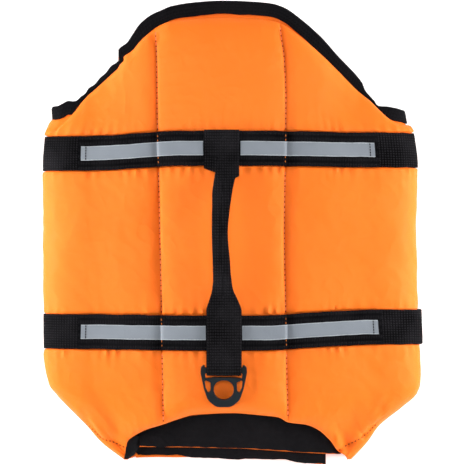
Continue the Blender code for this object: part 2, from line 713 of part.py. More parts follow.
def grown(outline, by):
    """An outline moved out on all sides, its corners kept sharp."""
    area = sum(a.cross(b) for a, b in zip(outline, outline[1:] + outline[:1]))
    moved = []
    for i, here in enumerate(outline):
        before = (here - outline[i - 1]).normalized()
        after = (outline[(i + 1) % len(outline)] - here).normalized()
        out = (Vector((before.y, -before.x)) + Vector((after.y, -after.x))) * math.copysign(1, area)
        moved.append(here + out * by / (1 + before.dot(after)))
    return moved


def plate(name, outlines, depth, edge, finish, parent):
    """A flat plate inside its first outline and outside the others, its rims chamfered, its middle at z = 0."""
    bm = bmesh.new()
    top_of = {}
    for i, outline in enumerate(outlines):
        inset = grown(outline, edge if i else -edge)
        levels = [(inset, -depth / 2), (outline, edge - depth / 2), (outline, depth / 2 - edge), (inset, depth / 2)]
        rings = [[bm.verts.new((x * MM, v * MM, z * MM)) for x, v in points] for points, z in levels]
        top_of.update(zip(rings[0], rings[-1]))
        for low, high in zip(rings, rings[1:]):
            for k in range(len(outline)):
                bm.faces.new((low[k - 1], low[k], high[k], high[k - 1]))
    rims = [e for e in bm.edges if e.verts[0] in top_of and e.verts[1] in top_of]
    filled = bmesh.ops.triangle_fill(bm, use_beauty=True, edges=rims)
    for face in [item for item in filled["geom"] if isinstance(item, bmesh.types.BMFace)]:
        bm.faces.new([top_of[vert] for vert in face.verts])
    bmesh.ops.recalc_face_normals(bm, faces=bm.faces[:])
    mesh = bpy.data.meshes.new(name)
    bm.to_mesh(mesh)
    bm.free()
    mesh.shade_smooth()
    mesh.set_sharp_from_angle(angle=math.radians(50))
    return place(bpy.data.objects.new(name, mesh), finish, parent)


def make_handle(webbing, plastic, parent):
    webbing_strip("handle", handle_line(), STRIP_ACROSS, webbing, parent)
    bend = []
    for k in range(BEND_STEPS + 1):
        turn = math.pi * k / BEND_STEPS
        v = RING_BEND + (RING_LENGTH - RING_BEND) * math.sin(turn)
        bend.append(Corner(RING_HALF * math.cos(turn), v, 0.0))
    outline = bend + HORN + flipped(HORN, across=True)
    left_window = flipped(SIDE_WINDOW, across=True)
    outlines = [rounded(corners) for corners in (outline, WEBBING_SLOT, CLIP_HOLE, SIDE_WINDOW, left_window)]
    ring = plate("lead_ring", outlines, RING_DEPTH, RING_EDGE, plastic, parent)
    ring.location = Vector((RING_X, RING_BAR_Y, back_height(RING_BAR_Y) + RING_BAR_LIFT)) * MM
    ring.rotation_euler = (math.pi + math.radians(RING_TILT), 0, 0)


def make_underside(flaps, webbing, plastic, parent):
    """Two buckles under the belly, the webbing that runs to them and the hollows it lies in."""
    slot_x = BUCKLE_HALF - END_BAR
    slot = [Corner(x, v, SLOT_RADIUS) for x, v in ((slot_x - END_SLOT, -SLOT_HALF), (slot_x, -SLOT_HALF),
                                                   (slot_x, SLOT_HALF), (slot_x - END_SLOT, SLOT_HALF))]
    holes = [PRONG_WINDOW, flipped(PRONG_WINDOW, across=False), slot, flipped(slot, across=True)]
    outlines = [rounded(corners) for corners in [BUCKLE_OUTLINE] + holes]
    half = WEBBING_DEPTH / 2
    top = BUCKLE_BOTTOM + BUCKLE_DEPTH + SEAM_GAP + half
    for strap in STRAPS:
        middle = (strap.left + strap.right) / 2
        buckle = plate(f"buckle_{strap.name}", outlines, BUCKLE_DEPTH, BUCKLE_EDGE, plastic, parent)
        buckle.location = Vector((0, middle, BUCKLE_BOTTOM + BUCKLE_DEPTH / 2)) * MM
        for side, name, line_y in ((-1, "left", strap.left), (1, "right", strap.right)):
            seam = frame_at(4.0 * side, line_y).x - side * WEBBING_JOIN
            turn = slot_x - SEAM_GAP - half
            path = [(seam, half, line_y), (side * (slot_x + 20), half, middle), (side * (turn + 1.6), half, middle),
                    (side * turn - side * 0.3, half + 0.5, middle), (side * (turn - 0.7), BUCKLE_BOTTOM + 0.4, middle),
                    (side * (turn - 0.7), top - half - SEAM_GAP - 0.4, middle),
                    (side * turn - side * 0.3, top - 0.5, middle), (side * (turn + 1.6), top, middle),
                    (side * (turn + TAIL_LENGTH), top, middle)]
            grids = ([], [])
            for i, (x, z, y) in enumerate(path):
                before, after = path[max(i - 1, 0)], path[min(i + 1, len(path) - 1)]
                run = Vector((after[0] - before[0], after[1] - before[1])).normalized()
                for grid, sign in zip(grids, (1, -1)):
                    grid.append([(x + sign * run.y * half, y + a, z - sign * run.x * half)
                                 for a in (-WEBBING / 2, WEBBING / 2)])
            two_skins(f"belly_webbing_{strap.name}_{name}", *grids, webbing, parent)
        hollow(flaps["left"], strap.name + "_pocket", (0, middle), POCKET_HALF, POCKET_DEPTH)
        for flap in flaps.values():
            hollow(flap, f"{strap.name}_groove_{flap.name}", (0, middle), (150.0, GROOVE_HALF), STRAP_SINK)


def hollow(obj, name, centre, half, depth):
    """Cuts a flat hollow up into an object that rests on the floor."""
    bm = bmesh.new()
    bmesh.ops.create_cube(bm, size=2.0)
    for vert in bm.verts:
        x, y = centre[0] + vert.co.x * half[0], centre[1] + vert.co.y * half[1]
        vert.co = Vector((x, y, depth if vert.co.z > 0 else -CUTTER_BELOW)) * MM
    mesh = bpy.data.meshes.new(name)
    bm.to_mesh(mesh)
    bm.free()
    cutter = bpy.data.objects.new(name, mesh)
    bpy.context.scene.collection.objects.link(cutter)
    cutter.hide_render = True
    cutter.display_type = "WIRE"
    cut = obj.modifiers.new(name, "BOOLEAN")
    cut.operation = "DIFFERENCE"
    cut.object = cutter


def main():
    for obj in list(bpy.data.objects):
        bpy.data.objects.remove(obj)
    jacket = bpy.data.objects.new("jacket", None)
    bpy.context.scene.collection.objects.link(jacket)
    orange = material("orange_nylon", (1.0, 0.27, 0.035), 0.5)
    webbing = material("black_webbing", (0.012, 0.011, 0.013), 0.7)
    ribbon = material("black_ribbon", (0.016, 0.015, 0.017), 0.6)
    tape = material("reflective_tape", (0.33, 0.38, 0.42), 0.35)
    binding = material("black_binding", (0.01, 0.009, 0.011), 0.65)
    lining = material("black_lining", (0.011, 0.01, 0.012), 0.6)
    plastic = material("dark_plastic", (0.024, 0.034, 0.042), 0.4)
    make_back(orange, jacket)
    make_back_lining(lining, jacket)
    flaps = make_flaps(orange, lining, jacket)
    make_binding(binding, jacket)
    make_straps(webbing, ribbon, tape, jacket)
    make_handle(webbing, plastic, jacket)
    make_underside(flaps, webbing, plastic, jacket)


main()
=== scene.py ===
"""Dog life jacket, buckled and laid flat on its belly: cloth, webbing, stitches, plastic and the studio.

Sizes are in millimetres until a mesh is made. +Y is the neck, +X the jacket's right as it is seen from above.
"""

import json
import math

import bmesh
import bpy
import numpy as np
from mathutils import Matrix, Vector, noise
from mathutils.bvhtree import BVHTree

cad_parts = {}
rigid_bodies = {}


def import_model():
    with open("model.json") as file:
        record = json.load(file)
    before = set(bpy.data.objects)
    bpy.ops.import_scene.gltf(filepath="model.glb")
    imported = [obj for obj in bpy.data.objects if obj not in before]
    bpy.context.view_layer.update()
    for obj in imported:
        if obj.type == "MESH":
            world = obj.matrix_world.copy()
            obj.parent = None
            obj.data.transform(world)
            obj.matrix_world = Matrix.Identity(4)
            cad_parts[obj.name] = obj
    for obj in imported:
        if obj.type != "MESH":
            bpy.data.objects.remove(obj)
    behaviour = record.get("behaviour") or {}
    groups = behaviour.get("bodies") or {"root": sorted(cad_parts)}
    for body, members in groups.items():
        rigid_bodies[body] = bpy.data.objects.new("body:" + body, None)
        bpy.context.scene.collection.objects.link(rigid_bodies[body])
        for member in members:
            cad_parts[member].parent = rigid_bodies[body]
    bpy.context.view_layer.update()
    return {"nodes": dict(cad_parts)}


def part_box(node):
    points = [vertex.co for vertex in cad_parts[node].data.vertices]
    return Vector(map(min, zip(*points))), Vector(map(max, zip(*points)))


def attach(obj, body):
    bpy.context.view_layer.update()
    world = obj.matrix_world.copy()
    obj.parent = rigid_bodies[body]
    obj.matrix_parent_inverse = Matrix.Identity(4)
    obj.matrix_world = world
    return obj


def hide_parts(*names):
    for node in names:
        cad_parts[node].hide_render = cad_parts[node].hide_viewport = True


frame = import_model()
bpy.context.scene.view_settings.view_transform = "Standard"

# ==== Padded back panels ====
# Three channels of soft closed-cell foam in satin-coated orange nylon, parted by two rows of stitching.
# The outer two turn under at the sides. The cloth is pressed in by the straps and puckers along every
# row of stitches; beyond the foam it goes on as a thin lip that the black binding covers.

MM = 0.001
SEAM_GAP = 0.3
CENTRE_DEPTH, SIDE_DEPTH, FOLD_DEPTH = 15.0, 10.6, 9.5
SIDE_CROWN = 1.2
FOLD_SHARE = 0.3
STITCHED_DEPTH, HEM_DEPTH, LIP = 8.6, 3.0, 2.0
CENTRE_FLANK, CENTRE_DOME = 3.4, 0.66
SIDE_SHOULDER, SIDE_DOME = 0.18, 2.2
THIN_FOAM, FULL_FOAM = 6.0, 14.0
UNDER_RUN = 6.0
WEBBING, WEBBING_DEPTH = 25.4, 1.5
STRAP_SINK = WEBBING_DEPTH + SEAM_GAP
STRAP_SHOULDER = 6.0
STRAP_EDGE = WEBBING / 2 + SEAM_GAP + 0.8
STRAP_BRIDGE = 0.55
BINDING_WIDTH, BINDING_OUT = 10.0, 1.5
LIP_WIDTH = BINDING_WIDTH + 1.5
FRONT_ROOM = 3.0
MOST_SLANT = 1.45
FRONT_UNDER, FOAM_UNDER = 90.0, 81.0

# y, left edge, right edge, left seam, right seam, inner height, fold height, fold reach
STATIONS = [
    (172, -135.5, 129.5, -57.0, 34.5, 19.0, 20, 30),
    (150, -135.5, 129.5, -56.0, 35.5, 21.0, 21, 30),
    (125, -135.5, 129.5, -54.8, 38.5, 25.0, 23, 30),
    (96, -135.5, 129.5, -54.5, 39.5, 28.5, 27, 30),
    (84, -135.0, 131.2, -54.3, 39.4, 29.5, 31, 30.5),
    (72, -137.4, 134.4, -54.0, 39.3, 30.5, 34, 31),
    (48, -139.0, 137.0, -53.4, 39.0, 31.0, 36, 32),
    (0, -138.6, 136.0, -52.4, 38.3, 31.0, 37, 32),
    (-52, -138.6, 138.0, -51.3, 39.2, 31.0, 36, 32),
    (-85, -138.4, 139.0, -50.8, 39.8, 30.5, 34, 31),
    (-112, -134.6, 138.6, -50.4, 40.4, 29.0, 31, 29),
    (-118.5, -130.2, 136.4, -50.3, 40.6, 28.2, 29.2, 27),
    (-129, -121.0, 124.8, -50.1, 41.0, 27.0, 26, 24),
    (-143, -107.2, 107.8, -50.0, 41.3, 25.5, 19, 17),
    (-155, -96.8, 99.2, -50.0, 41.5, 23.0, 13, 11),
    (-170, -77.0, 86.0, -50.0, 41.6, 20.0, 8, 6),
]
# x, foam edge, cloth edge
FRONT = [
    (-142, 83, 92.5), (-133, 83, 93), (-131.2, 83, 93.6), (-128, 83.5, 95), (-124, 84.5, 96.6),
    (-120, 86.5, 96.2), (-116, 90, 96.8), (-112.4, 94.2, 99.8), (-108.4, 98.2, 101.8), (-104.6, 101.8, 106.4),
    (-101.3, 104.6, 108.2), (-96.6, 108.8, 113.8), (-92.6, 112.6, 117), (-88.5, 116.4, 122.4),
    (-85.2, 119.4, 124.2), (-83.8, 120.6, 125.8), (-82.8, 122.6, 132.4), (-81.4, 125, 135.6),
    (-79, 129.5, 137.4), (-76.6, 131.5, 139.2), (-73, 133.5, 144.2), (-66, 141, 153.4), (-57, 148, 160),
    (-50, 152.5, 163), (-42.6, 155, 166), (-26, 156.5, 168.8), (-3, 157.5, 170.2), (20, 157, 169.4),
    (34, 155, 168), (42, 152, 165.4), (54, 142.5, 156.4), (67, 130, 143.6), (78, 119, 130), (92, 104.6, 115),
    (96.4, 101, 109), (98.4, 99.6, 103.6), (101.8, 97.2, 100.4), (106.2, 93.2, 96.6), (108.8, 90.4, 93.2),
    (112, 87, 92.6), (118, 82, 92.4), (123.6, 79.6, 91.6), (126.5, 79.2, 91), (129.6, 79, 90), (142, 79, 90),
]
# g, tail hem. g counts lines of the cloth to both sides: 0 is the middle of the back, 1 a stitched seam,
# 2 where the side fold starts, 3 where it ends and 4 a little way under the belly.
HEMS = [
    (-4, -165.5), (-3, -167), (-2.5, -168.2), (-2.42, -167.6), (-2.1, -165.2), (-1.87, -160), (-1.77, -155.6),
    (-1.7, -152.9), (-1.6, -150.4), (-1.32, -144.8), (-1, -140.7), (-0.8, -137.5), (-0.5, -133.8),
    (0.1, -132.5), (0.6, -134.2), (0.85, -135.6), (1, -139.2), (1.27, -141.2), (1.47, -145.6),
    (1.615, -151.5), (1.856, -161.6), (2.1, -165.6), (2.5, -168), (3, -164), (4, -162),
]
# share of the way from the binding to the foam, mm back from there, share of the full depth
FOAM_FRONT = [(0, 0.3, 0.3), (0.8, 0, 0.36), (1, 0.8, 0.54), (1, 3.2, 0.8), (1, 7.5, 0.95), (1, 13, 1)]
# mm ahead of the tail hem, share of the full depth
FOAM_TAIL = [(15, 1), (9, 0.93), (4.5, 0.76), (1.6, 0.5), (0.3, 0.22), (0, 0)]
# y of each strap at the middle, at the left fold and at the right fold
STRAPS = {"front": (61.2, 57.6, 60.2), "rear": (-73.2, -72.6, -69.2)}
# Small bends in the cloth beside the left neck binding: x, y, push towards +X, reach across and along
KINKS = [(-81.5, 131.5, -0.9, math.sqrt(10), math.sqrt(10)), (-82.5, 126.0, 2.6, 3.0, 2.0)]


def tangents(values, keys):
    slopes = np.diff(values) / np.diff(keys)
    before, after = slopes[..., :-1], slopes[..., 1:]
    total = before + after
    inner = np.where(before * after > 0, 2 * before * after / np.where(total == 0, 1, total), 0.0)
    return np.concatenate([slopes[..., :1], inner, slopes[..., -1:]], axis=-1)


def smooth(values, keys, at):
    """Values at keys, read at other places along a smooth curve that never overshoots."""
    slope = tangents(values, keys)
    i = np.clip(np.searchsorted(keys, at, side="right") - 1, 0, len(keys) - 2)
    span = keys[i + 1] - keys[i]
    t = np.clip((at - keys[i]) / span, 0, 1)
    start, end = values[..., i], values[..., i + 1]
    bend_in, bend_out = slope[..., i] * span, slope[..., i + 1] * span
    held = (2 * t**3 - 3 * t**2 + 1) * start + (3 * t**2 - 2 * t**3) * end
    return held + (t**3 - 2 * t**2 + t) * bend_in + (t**3 - t**2) * bend_out


def curve(table, column):
    rows = np.array(sorted(table), float)
    dense = np.linspace(rows[0, 0], rows[-1, 0], 1500)
    values = smooth(rows[:, column], rows[:, 0], dense)
    return lambda at: np.interp(at, dense, values)


left_edge, right_edge, left_seam, right_seam = (curve(STATIONS, k) for k in range(1, 5))
inside_at, fold_at, reach_at = (curve(STATIONS, k) for k in range(5, 8))
foam_edge_at, cloth_edge_at = curve(FRONT, 1), curve(FRONT, 2)
hem_at = curve(HEMS, 1)


def lerp(a, b, t):
    return a + (b - a) * t


def ease(t):
    t = np.clip(t, 0.0, 1.0)
    return t * t * (3 - 2 * t)


def face_at(g, y):
    """The cloth's full outer face: x, z, its outward direction, its share of upper cloth and its depth."""
    g, y = np.broadcast_arrays(np.asarray(g, float), np.asarray(y, float))
    side, across = np.where(g < 0, -1.0, 1.0), np.abs(g)
    inside, fold, reach = inside_at(y), fold_at(y), reach_at(y)
    seams = left_seam(y), right_seam(y)
    fold_depth = np.minimum(FOLD_DEPTH, FOLD_SHARE * fold)
    fold_start = np.where(side < 0, left_edge(y) + reach, right_edge(y) - reach)
    along = ease(across - 1)
    crown = SIDE_CROWN * np.sin(math.pi * np.clip(across - 1, 0, 1)) ** 1.5
    roof_depth = lerp(SIDE_DEPTH, fold_depth, along) + crown
    turn = math.pi * (np.clip(across, 2, 3) - 2)
    turn_x, turn_z = side * np.sin(turn), np.cos(turn)
    here = [across <= 1, across <= 2, across <= 3]
    x = np.select(here, [lerp(*seams, (g + 1) / 2), lerp(np.where(side < 0, *seams), fold_start, across - 1),
                         fold_start + reach * turn_x], fold_start - side * UNDER_RUN * (across - 3))
    x = x + sum(push * np.exp(-(((x - at_x) / wide) ** 2) - ((y - at_y) / tall) ** 2)
                for at_x, at_y, push, wide, tall in KINKS)
    z = np.select(here, [inside + CENTRE_DEPTH, lerp(inside, fold - fold_depth, along) + roof_depth,
                         fold * (1 + turn_z) / 2], 0.0)
    out_x = np.select(here, [0.0 * g, 0.0 * g, turn_x], 0.0)
    out_z = np.select(here, [0.0 * g + 1, 0.0 * g + 1, turn_z], -1.0)
    depth = np.select(here, [0.0 * g + CENTRE_DEPTH, roof_depth, fold_depth], fold_depth)
    upper = np.select(here, [0.0 * g + 1, 0.0 * g + 1, (1 + turn_z) / 2], 0.0)
    return x, z, out_x, out_z, upper, depth


def quilted(g, depth, bridge=0.0):
    """The padding's depth, pinched in at the seams; bridge is how far a strap spans the pinch."""
    across = np.abs(g)
    centre = np.clip(1 - across**CENTRE_FLANK, 0, 1) ** CENTRE_DOME
    side = 1 - (1 - np.clip((across - 1) / SIDE_SHOULDER, 0, 1)) ** SIDE_DOME
    return lerp(STITCHED_DEPTH, depth, lerp(np.where(across <= 1, centre, side), 1.0, bridge))


def skins(g, y, swell=1.0, sink=0.0, bridge=0.0, lip=0.0):
    """Outer and inner points of the cloth, as arrays of (x, y, z), with the outward direction."""
    x, z, out_x, out_z, upper, face_depth = face_at(g, y)
    full = quilted(g, face_depth, bridge)
    depth = lerp(np.minimum(lerp(HEM_DEPTH, LIP, lip), full), full, swell)
    from_face = (face_depth - depth) * upper + lip * BINDING_OUT * (1 - upper) * (1 - swell)

    def moved(inwards):
        return np.stack([x - out_x * inwards, y + 0 * x, z - out_z * inwards], axis=-1)

    return moved(from_face + sink), moved(from_face + depth), np.stack([out_x, 0 * x, out_z], axis=-1)


def front_at(g):
    """Front edges of the foam and the cloth on a line, and how much longer that edge is than square."""
    side = -1.0 if g < 0 else 1.0
    if abs(g) > 2.5:
        under = ease((abs(g) - 2.5) / 0.5)
        foam, edge = foam_edge_at(FRONT[-1][0] * side), cloth_edge_at(FRONT[-1][0] * side)
        return lerp(foam, FOAM_UNDER, under), lerp(edge, FRONT_UNDER, under), 1.0
    x = face_at(g, 110.0)[0]
    slope = (cloth_edge_at(x + 4) - cloth_edge_at(x - 4)) / 8
    return foam_edge_at(x), cloth_edge_at(x), min(MOST_SLANT, math.hypot(1, slope))


def strap_line(strap, g):
    middle, left, right = STRAPS[strap]
    return lerp(middle, np.where(np.asarray(g) < 0, left, right), ease((np.abs(g) - 0.6) / 1.4))


def root_at(g, foam, edge, slant):
    """Where the thin lip under the binding starts: thick foam goes in there, thin foam stops short."""
    room = np.clip((quilted(g, face_at(g, foam)[5]) - THIN_FOAM) / (FULL_FOAM - THIN_FOAM), 0, 1)
    tucked = lerp(foam, min(foam, edge - LIP_WIDTH * slant), room)
    return max(tucked, strap_line("front", g) + STRAP_EDGE + FRONT_ROOM)


def cloth_rows(g):
    """Rows (y, inner y, swell, sink, lip) of one line of the cloth, from the neck edge to the tail hem."""
    foam, edge, slant = front_at(g)
    root = root_at(g, foam, edge, slant)
    foam = max(foam, root)
    tip = edge - BINDING_OUT * slant
    front, rear = float(strap_line("front", g)), float(strap_line("rear", g))
    squeeze = min(1.6, (foam - front - STRAP_EDGE - 1.0) / FOAM_FRONT[-1][1])
    plain = min(lerp(foam - FOAM_FRONT[-1][1] * squeeze, front + STRAP_EDGE, 0.3), root - 2.0)
    rows = [(tip, tip, 0.0, 0.0, 1.0), (root, root, 0.0, 0.0, 1.0)]
    for k, (lean, back, swell) in enumerate(FOAM_FRONT):
        y = lerp(root, foam, lean) - back * squeeze
        rows.append((y, lerp(root, plain, (k + 1) / 7), swell, 0.0, 1.0))
    half = WEBBING / 2 + SEAM_GAP
    shoulder = 0.8 + min(STRAP_SHOULDER - 0.8, 0.5 * (plain - front - STRAP_EDGE))
    pressed = [(half + 0.4, 0.4), (half, 1), (-half, 1), (-half - 0.4, 0.4), (-half - STRAP_SHOULDER, 0)]
    plains = [(plain, 0.0), (front + half + shoulder, 0.0)] + [(front + a, s) for a, s in pressed]
    start, end = plains[-1][0], rear + half + STRAP_SHOULDER
    plains += [(lerp(start, end, 0.5), 0.0), (end, 0.0)] + [(rear + a, s) for a, s in pressed]
    hem = float(hem_at(g))
    start, end = plains[-1][0], hem + FOAM_TAIL[0][0]
    plains += [(lerp(start, end, share), 0.0) for share in (0.33, 0.66)]
    rows += [(y, y, 1.0, STRAP_SINK * sink, 0.0) for y, sink in plains]
    return rows + [(hem + ahead, hem + ahead, swell, 0.0, 0.0) for ahead, swell in FOAM_TAIL]


ROW_STEPS = [7, 2, 2, 2, 2, 2, 3, 18, 18, 4, 1, 13, 1, 4, 26, 26, 4, 1, 13, 1, 4, 9, 9, 9, 4, 3, 3, 2, 1]


def spread(values, steps):
    """Values with each gap between them parted into its number of steps."""
    parts = [np.linspace(a, b, n, endpoint=False) for a, b, n in zip(values, values[1:], steps)]
    return np.concatenate(parts + [[values[-1]]])


ROW_PLACES = spread(np.arange(len(ROW_STEPS) + 1.0), ROW_STEPS)


def cloth_net(columns):
    """y, inner y, swell, sink and lip of the cloth at every crossing of its columns and fine rows."""
    coarse = np.array([cloth_rows(g) for g in columns])
    knots = np.arange(coarse.shape[1], dtype=float)
    return [smooth(coarse[:, :, k], knots, ROW_PLACES) for k in range(5)]


WIDTH_PLACES = np.linspace(-4, 4, 1601)
width_x, width_z = face_at(WIDTH_PLACES, 0.0)[:2]
width_run = np.concatenate([[0.0], np.cumsum(np.hypot(np.diff(width_x), np.diff(width_z)))])
width_run -= np.interp(0.0, WIDTH_PLACES, width_run)


def cloth_width(g):
    """Millimetres across the cloth from the middle of the back."""
    return np.interp(g, WIDTH_PLACES, width_run)


def ripple(u, v, length_u, length_v, seed):
    """Smooth noise from -1 to 1 over places in mm, with its own wavelength each way."""
    u, v = np.broadcast_arrays(u, v)
    places = zip((u / length_u).ravel(), (v / length_v).ravel())
    return np.array([noise.noise(Vector((a, b, seed * 7.31))) for a, b in places]).reshape(u.shape) * 1.6


def as_mesh(bm, name):
    mesh = bpy.data.meshes.new(name)
    bm.to_mesh(mesh)
    bm.free()
    return mesh


def thickened(bm, faces, depth):
    """Gives flat faces a wall up to depth, and returns the points of the new side."""
    made = bmesh.ops.extrude_face_region(bm, geom=faces, use_keep_orig=True)
    points = [item for item in made["geom"] if isinstance(item, bmesh.types.BMVert)]
    bmesh.ops.translate(bm, verts=points, vec=(0, 0, depth))
    return points


def points_of(mesh):
    points = np.empty(len(mesh.vertices) * 3)
    mesh.vertices.foreach_get("co", points)
    return points.reshape(-1, 3)


def lay_out(mesh, places):
    """Lays the cloth out flat as a UV map, with one place for each point of the mesh."""
    corners = np.empty(len(mesh.loops), np.int32)
    mesh.loops.foreach_get("vertex_index", corners)
    mesh.uv_layers.new(name="Cloth").data.foreach_set("uv", places[corners].ravel())


def wall_mesh(name, outer, inner, uv):
    """A closed wall between two nets of points, [column][row], with its cloth laid out flat."""
    columns, rows = outer.shape[:2]
    bm = bmesh.new()
    bmesh.ops.create_grid(bm, x_segments=rows - 1, y_segments=columns - 1, size=1.0)
    thickened(bm, bm.faces[:], 1.0)
    bmesh.ops.recalc_face_normals(bm, faces=bm.faces[:])
    mesh = as_mesh(bm, name)
    places = points_of(mesh)
    row = np.rint((places[:, 0] + 1) / 2 * (rows - 1)).astype(int)
    column = np.rint((places[:, 1] + 1) / 2 * (columns - 1)).astype(int)
    points = np.where(places[:, 2:] > 0.5, outer[column, row], inner[column, row])
    mesh.vertices.foreach_set("co", (points * MM).ravel())
    lay_out(mesh, uv[column, row] * MM)
    mesh.update()
    bm = bmesh.new()
    bm.from_mesh(mesh)
    if bm.calc_volume(signed=True) < 0:
        bmesh.ops.reverse_faces(bm, faces=bm.faces[:])
    bm.to_mesh(mesh)
    bm.free()
    return mesh


def in_scene(name, data):
    thing = bpy.data.objects.new(name, data)
    bpy.context.scene.collection.objects.link(thing)
    return thing


SHARP = math.radians(50)


def put(name, mesh, finish, nodes, rim=0.0, body="jacket"):
    """Puts a finished mesh in the scene in place of its solids."""
    mesh.shade_smooth()
    mesh.set_sharp_from_angle(angle=SHARP)
    mesh.materials.clear()
    mesh.materials.append(finish)
    piece = in_scene(name, mesh)
    if rim:
        bevel = piece.modifiers.new("soft_rim", "BEVEL")
        bevel.width = rim * MM
        bevel.segments = 2
        bevel.limit_method = "ANGLE"
        bevel.angle_limit = SHARP
    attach(piece, body)
    if nodes:
        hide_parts(*nodes)
    return piece


def node_group(name, settings, outputs):
    """A shader group that takes a Vector and its settings, with their defaults, and gives numbers."""
    group = bpy.data.node_groups.new(name, "ShaderNodeTree")
    group.interface.new_socket("Vector", in_out="INPUT", socket_type="NodeSocketVector")
    for label, value in settings.items():
        socket = group.interface.new_socket(label, in_out="INPUT", socket_type="NodeSocketFloat")
        socket.default_value = value
    for label in outputs:
        group.interface.new_socket(label, in_out="OUTPUT", socket_type="NodeSocketFloat")
    start, end = group.nodes.new("NodeGroupInput"), group.nodes.new("NodeGroupOutput")
    return group, start.outputs, end.inputs


def wired(tree, kind, *values, **settings):
    """A node with its settings and its inputs in order: a socket is linked, a number is set, None is left."""
    node = tree.nodes.new(kind)
    for key, value in settings.items():
        setattr(node, key, value)
    for socket, value in zip(node.inputs, values):
        if isinstance(value, bpy.types.NodeSocket):
            tree.links.new(value, socket)
        elif value is not None:
            socket.default_value = value
    return node


def maths(tree, operation, *values):
    return wired(tree, "ShaderNodeMath", *values, operation=operation).outputs[0]


def waves_both_ways(tree, ins):
    """Sine waves over the group's Vector, one every Across and one every Along metres."""
    split = wired(tree, "ShaderNodeSeparateXYZ", ins["Vector"]).outputs
    turns = [maths(tree, "DIVIDE", split[k], ins[label]) for k, label in enumerate(("Across", "Along"))]
    return [maths(tree, "SINE", maths(tree, "MULTIPLY", turn, math.pi)) for turn in turns]


# Threads: a plain weave on the cloth's own layout, with its height and which threads lie on top.
threads, ins, outs = node_group("Threads", {"Across": 0.0005, "Along": 0.0005}, ["Height", "Mask"])
wave_u, wave_v = waves_both_ways(threads, ins)
over = maths(threads, "GREATER_THAN", maths(threads, "MULTIPLY", wave_u, wave_v), 0.0)
warp, weft = maths(threads, "ABSOLUTE", wave_u), maths(threads, "ABSOLUTE", wave_v)
height = maths(threads, "ADD", maths(threads, "MULTIPLY", warp, over),
               maths(threads, "MULTIPLY", weft, maths(threads, "SUBTRACT", 1.0, over)))
threads.links.new(height, outs["Height"])
threads.links.new(over, outs["Mask"])

# Handling: the slow, uneven shine and tone that folding and touching leave on any cloth or plastic.
handling, ins, outs = node_group("Handling", {"Size": 30.0}, ["Tone", "Fine", "Crease"])
# output, how much finer than Size, then the noise's detail, roughness, lacunarity and offset
for label, finer, form, *values in (
    ("Tone", 1.0, "FBM", 3.0, 0.55), ("Fine", 14.0, "FBM", 2.0, 0.5),
    ("Crease", 3.2, "RIDGED_MULTIFRACTAL", 4.0, 0.6, 2.0, 0.9),
):
    scale = maths(handling, "MULTIPLY", ins["Size"], finer)
    cloud = wired(handling, "ShaderNodeTexNoise", ins["Vector"], None, scale, *values, noise_type=form)
    handling.links.new(cloud.outputs[0], outs[label])


def material(name, roughness, specular=0.15, sheen=0.0):
    """A new material, its tree and its shader, with the place on the object as a socket."""
    made = bpy.data.materials.new(name)
    made.use_nodes = True
    tree = made.node_tree
    shader = tree.nodes["Principled BSDF"]
    shader.inputs["Roughness"].default_value = roughness
    shader.inputs["Specular IOR Level"].default_value = specular
    shader.inputs["Sheen Weight"].default_value = sheen
    shader.inputs["Sheen Roughness"].default_value = 0.4
    return made, tree, shader, tree.nodes.new("ShaderNodeTexCoord").outputs["Object"]


def placed(tree, group, *values):
    return wired(tree, "ShaderNodeGroup", *values, node_tree=group).outputs


def mixed(tree, share, first, second):
    """Two colours mixed by a share, each a socket or its red, green and blue."""
    pair = [value if isinstance(value, bpy.types.NodeSocket) else (*value, 1) for value in (first, second)]
    return wired(tree, "ShaderNodeMix", share, *[None] * 5, *pair, data_type="RGBA").outputs[2]


def ranged(tree, value, low, high, to_low=0.0, to_high=1.0):
    return wired(tree, "ShaderNodeMapRange", value, low, high, to_low, to_high).outputs[0]


def bumped(tree, shader, *layers):
    """Bump from several heights, each with its depth in metres."""
    normal = None
    for height, distance in layers:
        node = tree.nodes.new("ShaderNodeBump")
        node.inputs["Strength"].default_value = 1.0
        node.inputs["Distance"].default_value = distance
        tree.links.new(height, node.inputs["Height"])
        if normal:
            tree.links.new(normal, node.inputs["Normal"])
        normal = node.outputs["Normal"]
    tree.links.new(normal, shader.inputs["Normal"])


def finished(tree, shader, tone, fine, smooth_end, rough_end, *layers):
    """Joins up a material's colour, its uneven roughness and its bumps."""
    tree.links.new(tone, shader.inputs["Base Color"])
    tree.links.new(ranged(tree, fine, 0.3, 0.7, smooth_end, rough_end), shader.inputs["Roughness"])
    bumped(tree, shader, *layers)


def layout(tree):
    return wired(tree, "ShaderNodeUVMap", uv_map="Cloth").outputs[0]


orange_nylon, tree, shader, spot = material("orange_nylon", 0.36, specular=0.1)
weave = placed(tree, threads, layout(tree), 0.00042, 0.00052)
touch = placed(tree, handling, spot, 22.0)
tone = mixed(tree, ranged(tree, touch["Tone"], 0.3, 0.7), (0.96, 0.17, 0.012), (1.0, 0.188, 0.016))
tone = mixed(tree, maths(tree, "MULTIPLY", weave["Mask"], 0.25), tone, (1.0, 0.21, 0.022))
bumps = (weave["Height"], 0.00006), (touch["Crease"], 0.00018)
finished(tree, shader, tone, touch["Fine"], 0.32, 0.44, *bumps)

# The foam of each side ends at a row of stitches short of the tail tip: x, y along that row.
TIP_SEAMS = {
    -1: [(-108.0, -141.0), (-103.1, -144.7), (-96.6, -151.7), (-92.5, -153.5), (-88.6, -154.1),
         (-83.9, -156.2), (-78.6, -158.9)],
    1: [(78.5, -161.4), (84.2, -157.4), (90.0, -154.6), (95.8, -151.5), (101.6, -146.7),
        (105.3, -142.5), (108.0, -139.5)],
}
TIP_ZONE = 76, 112
FAR_FROM_TIP = -50.0


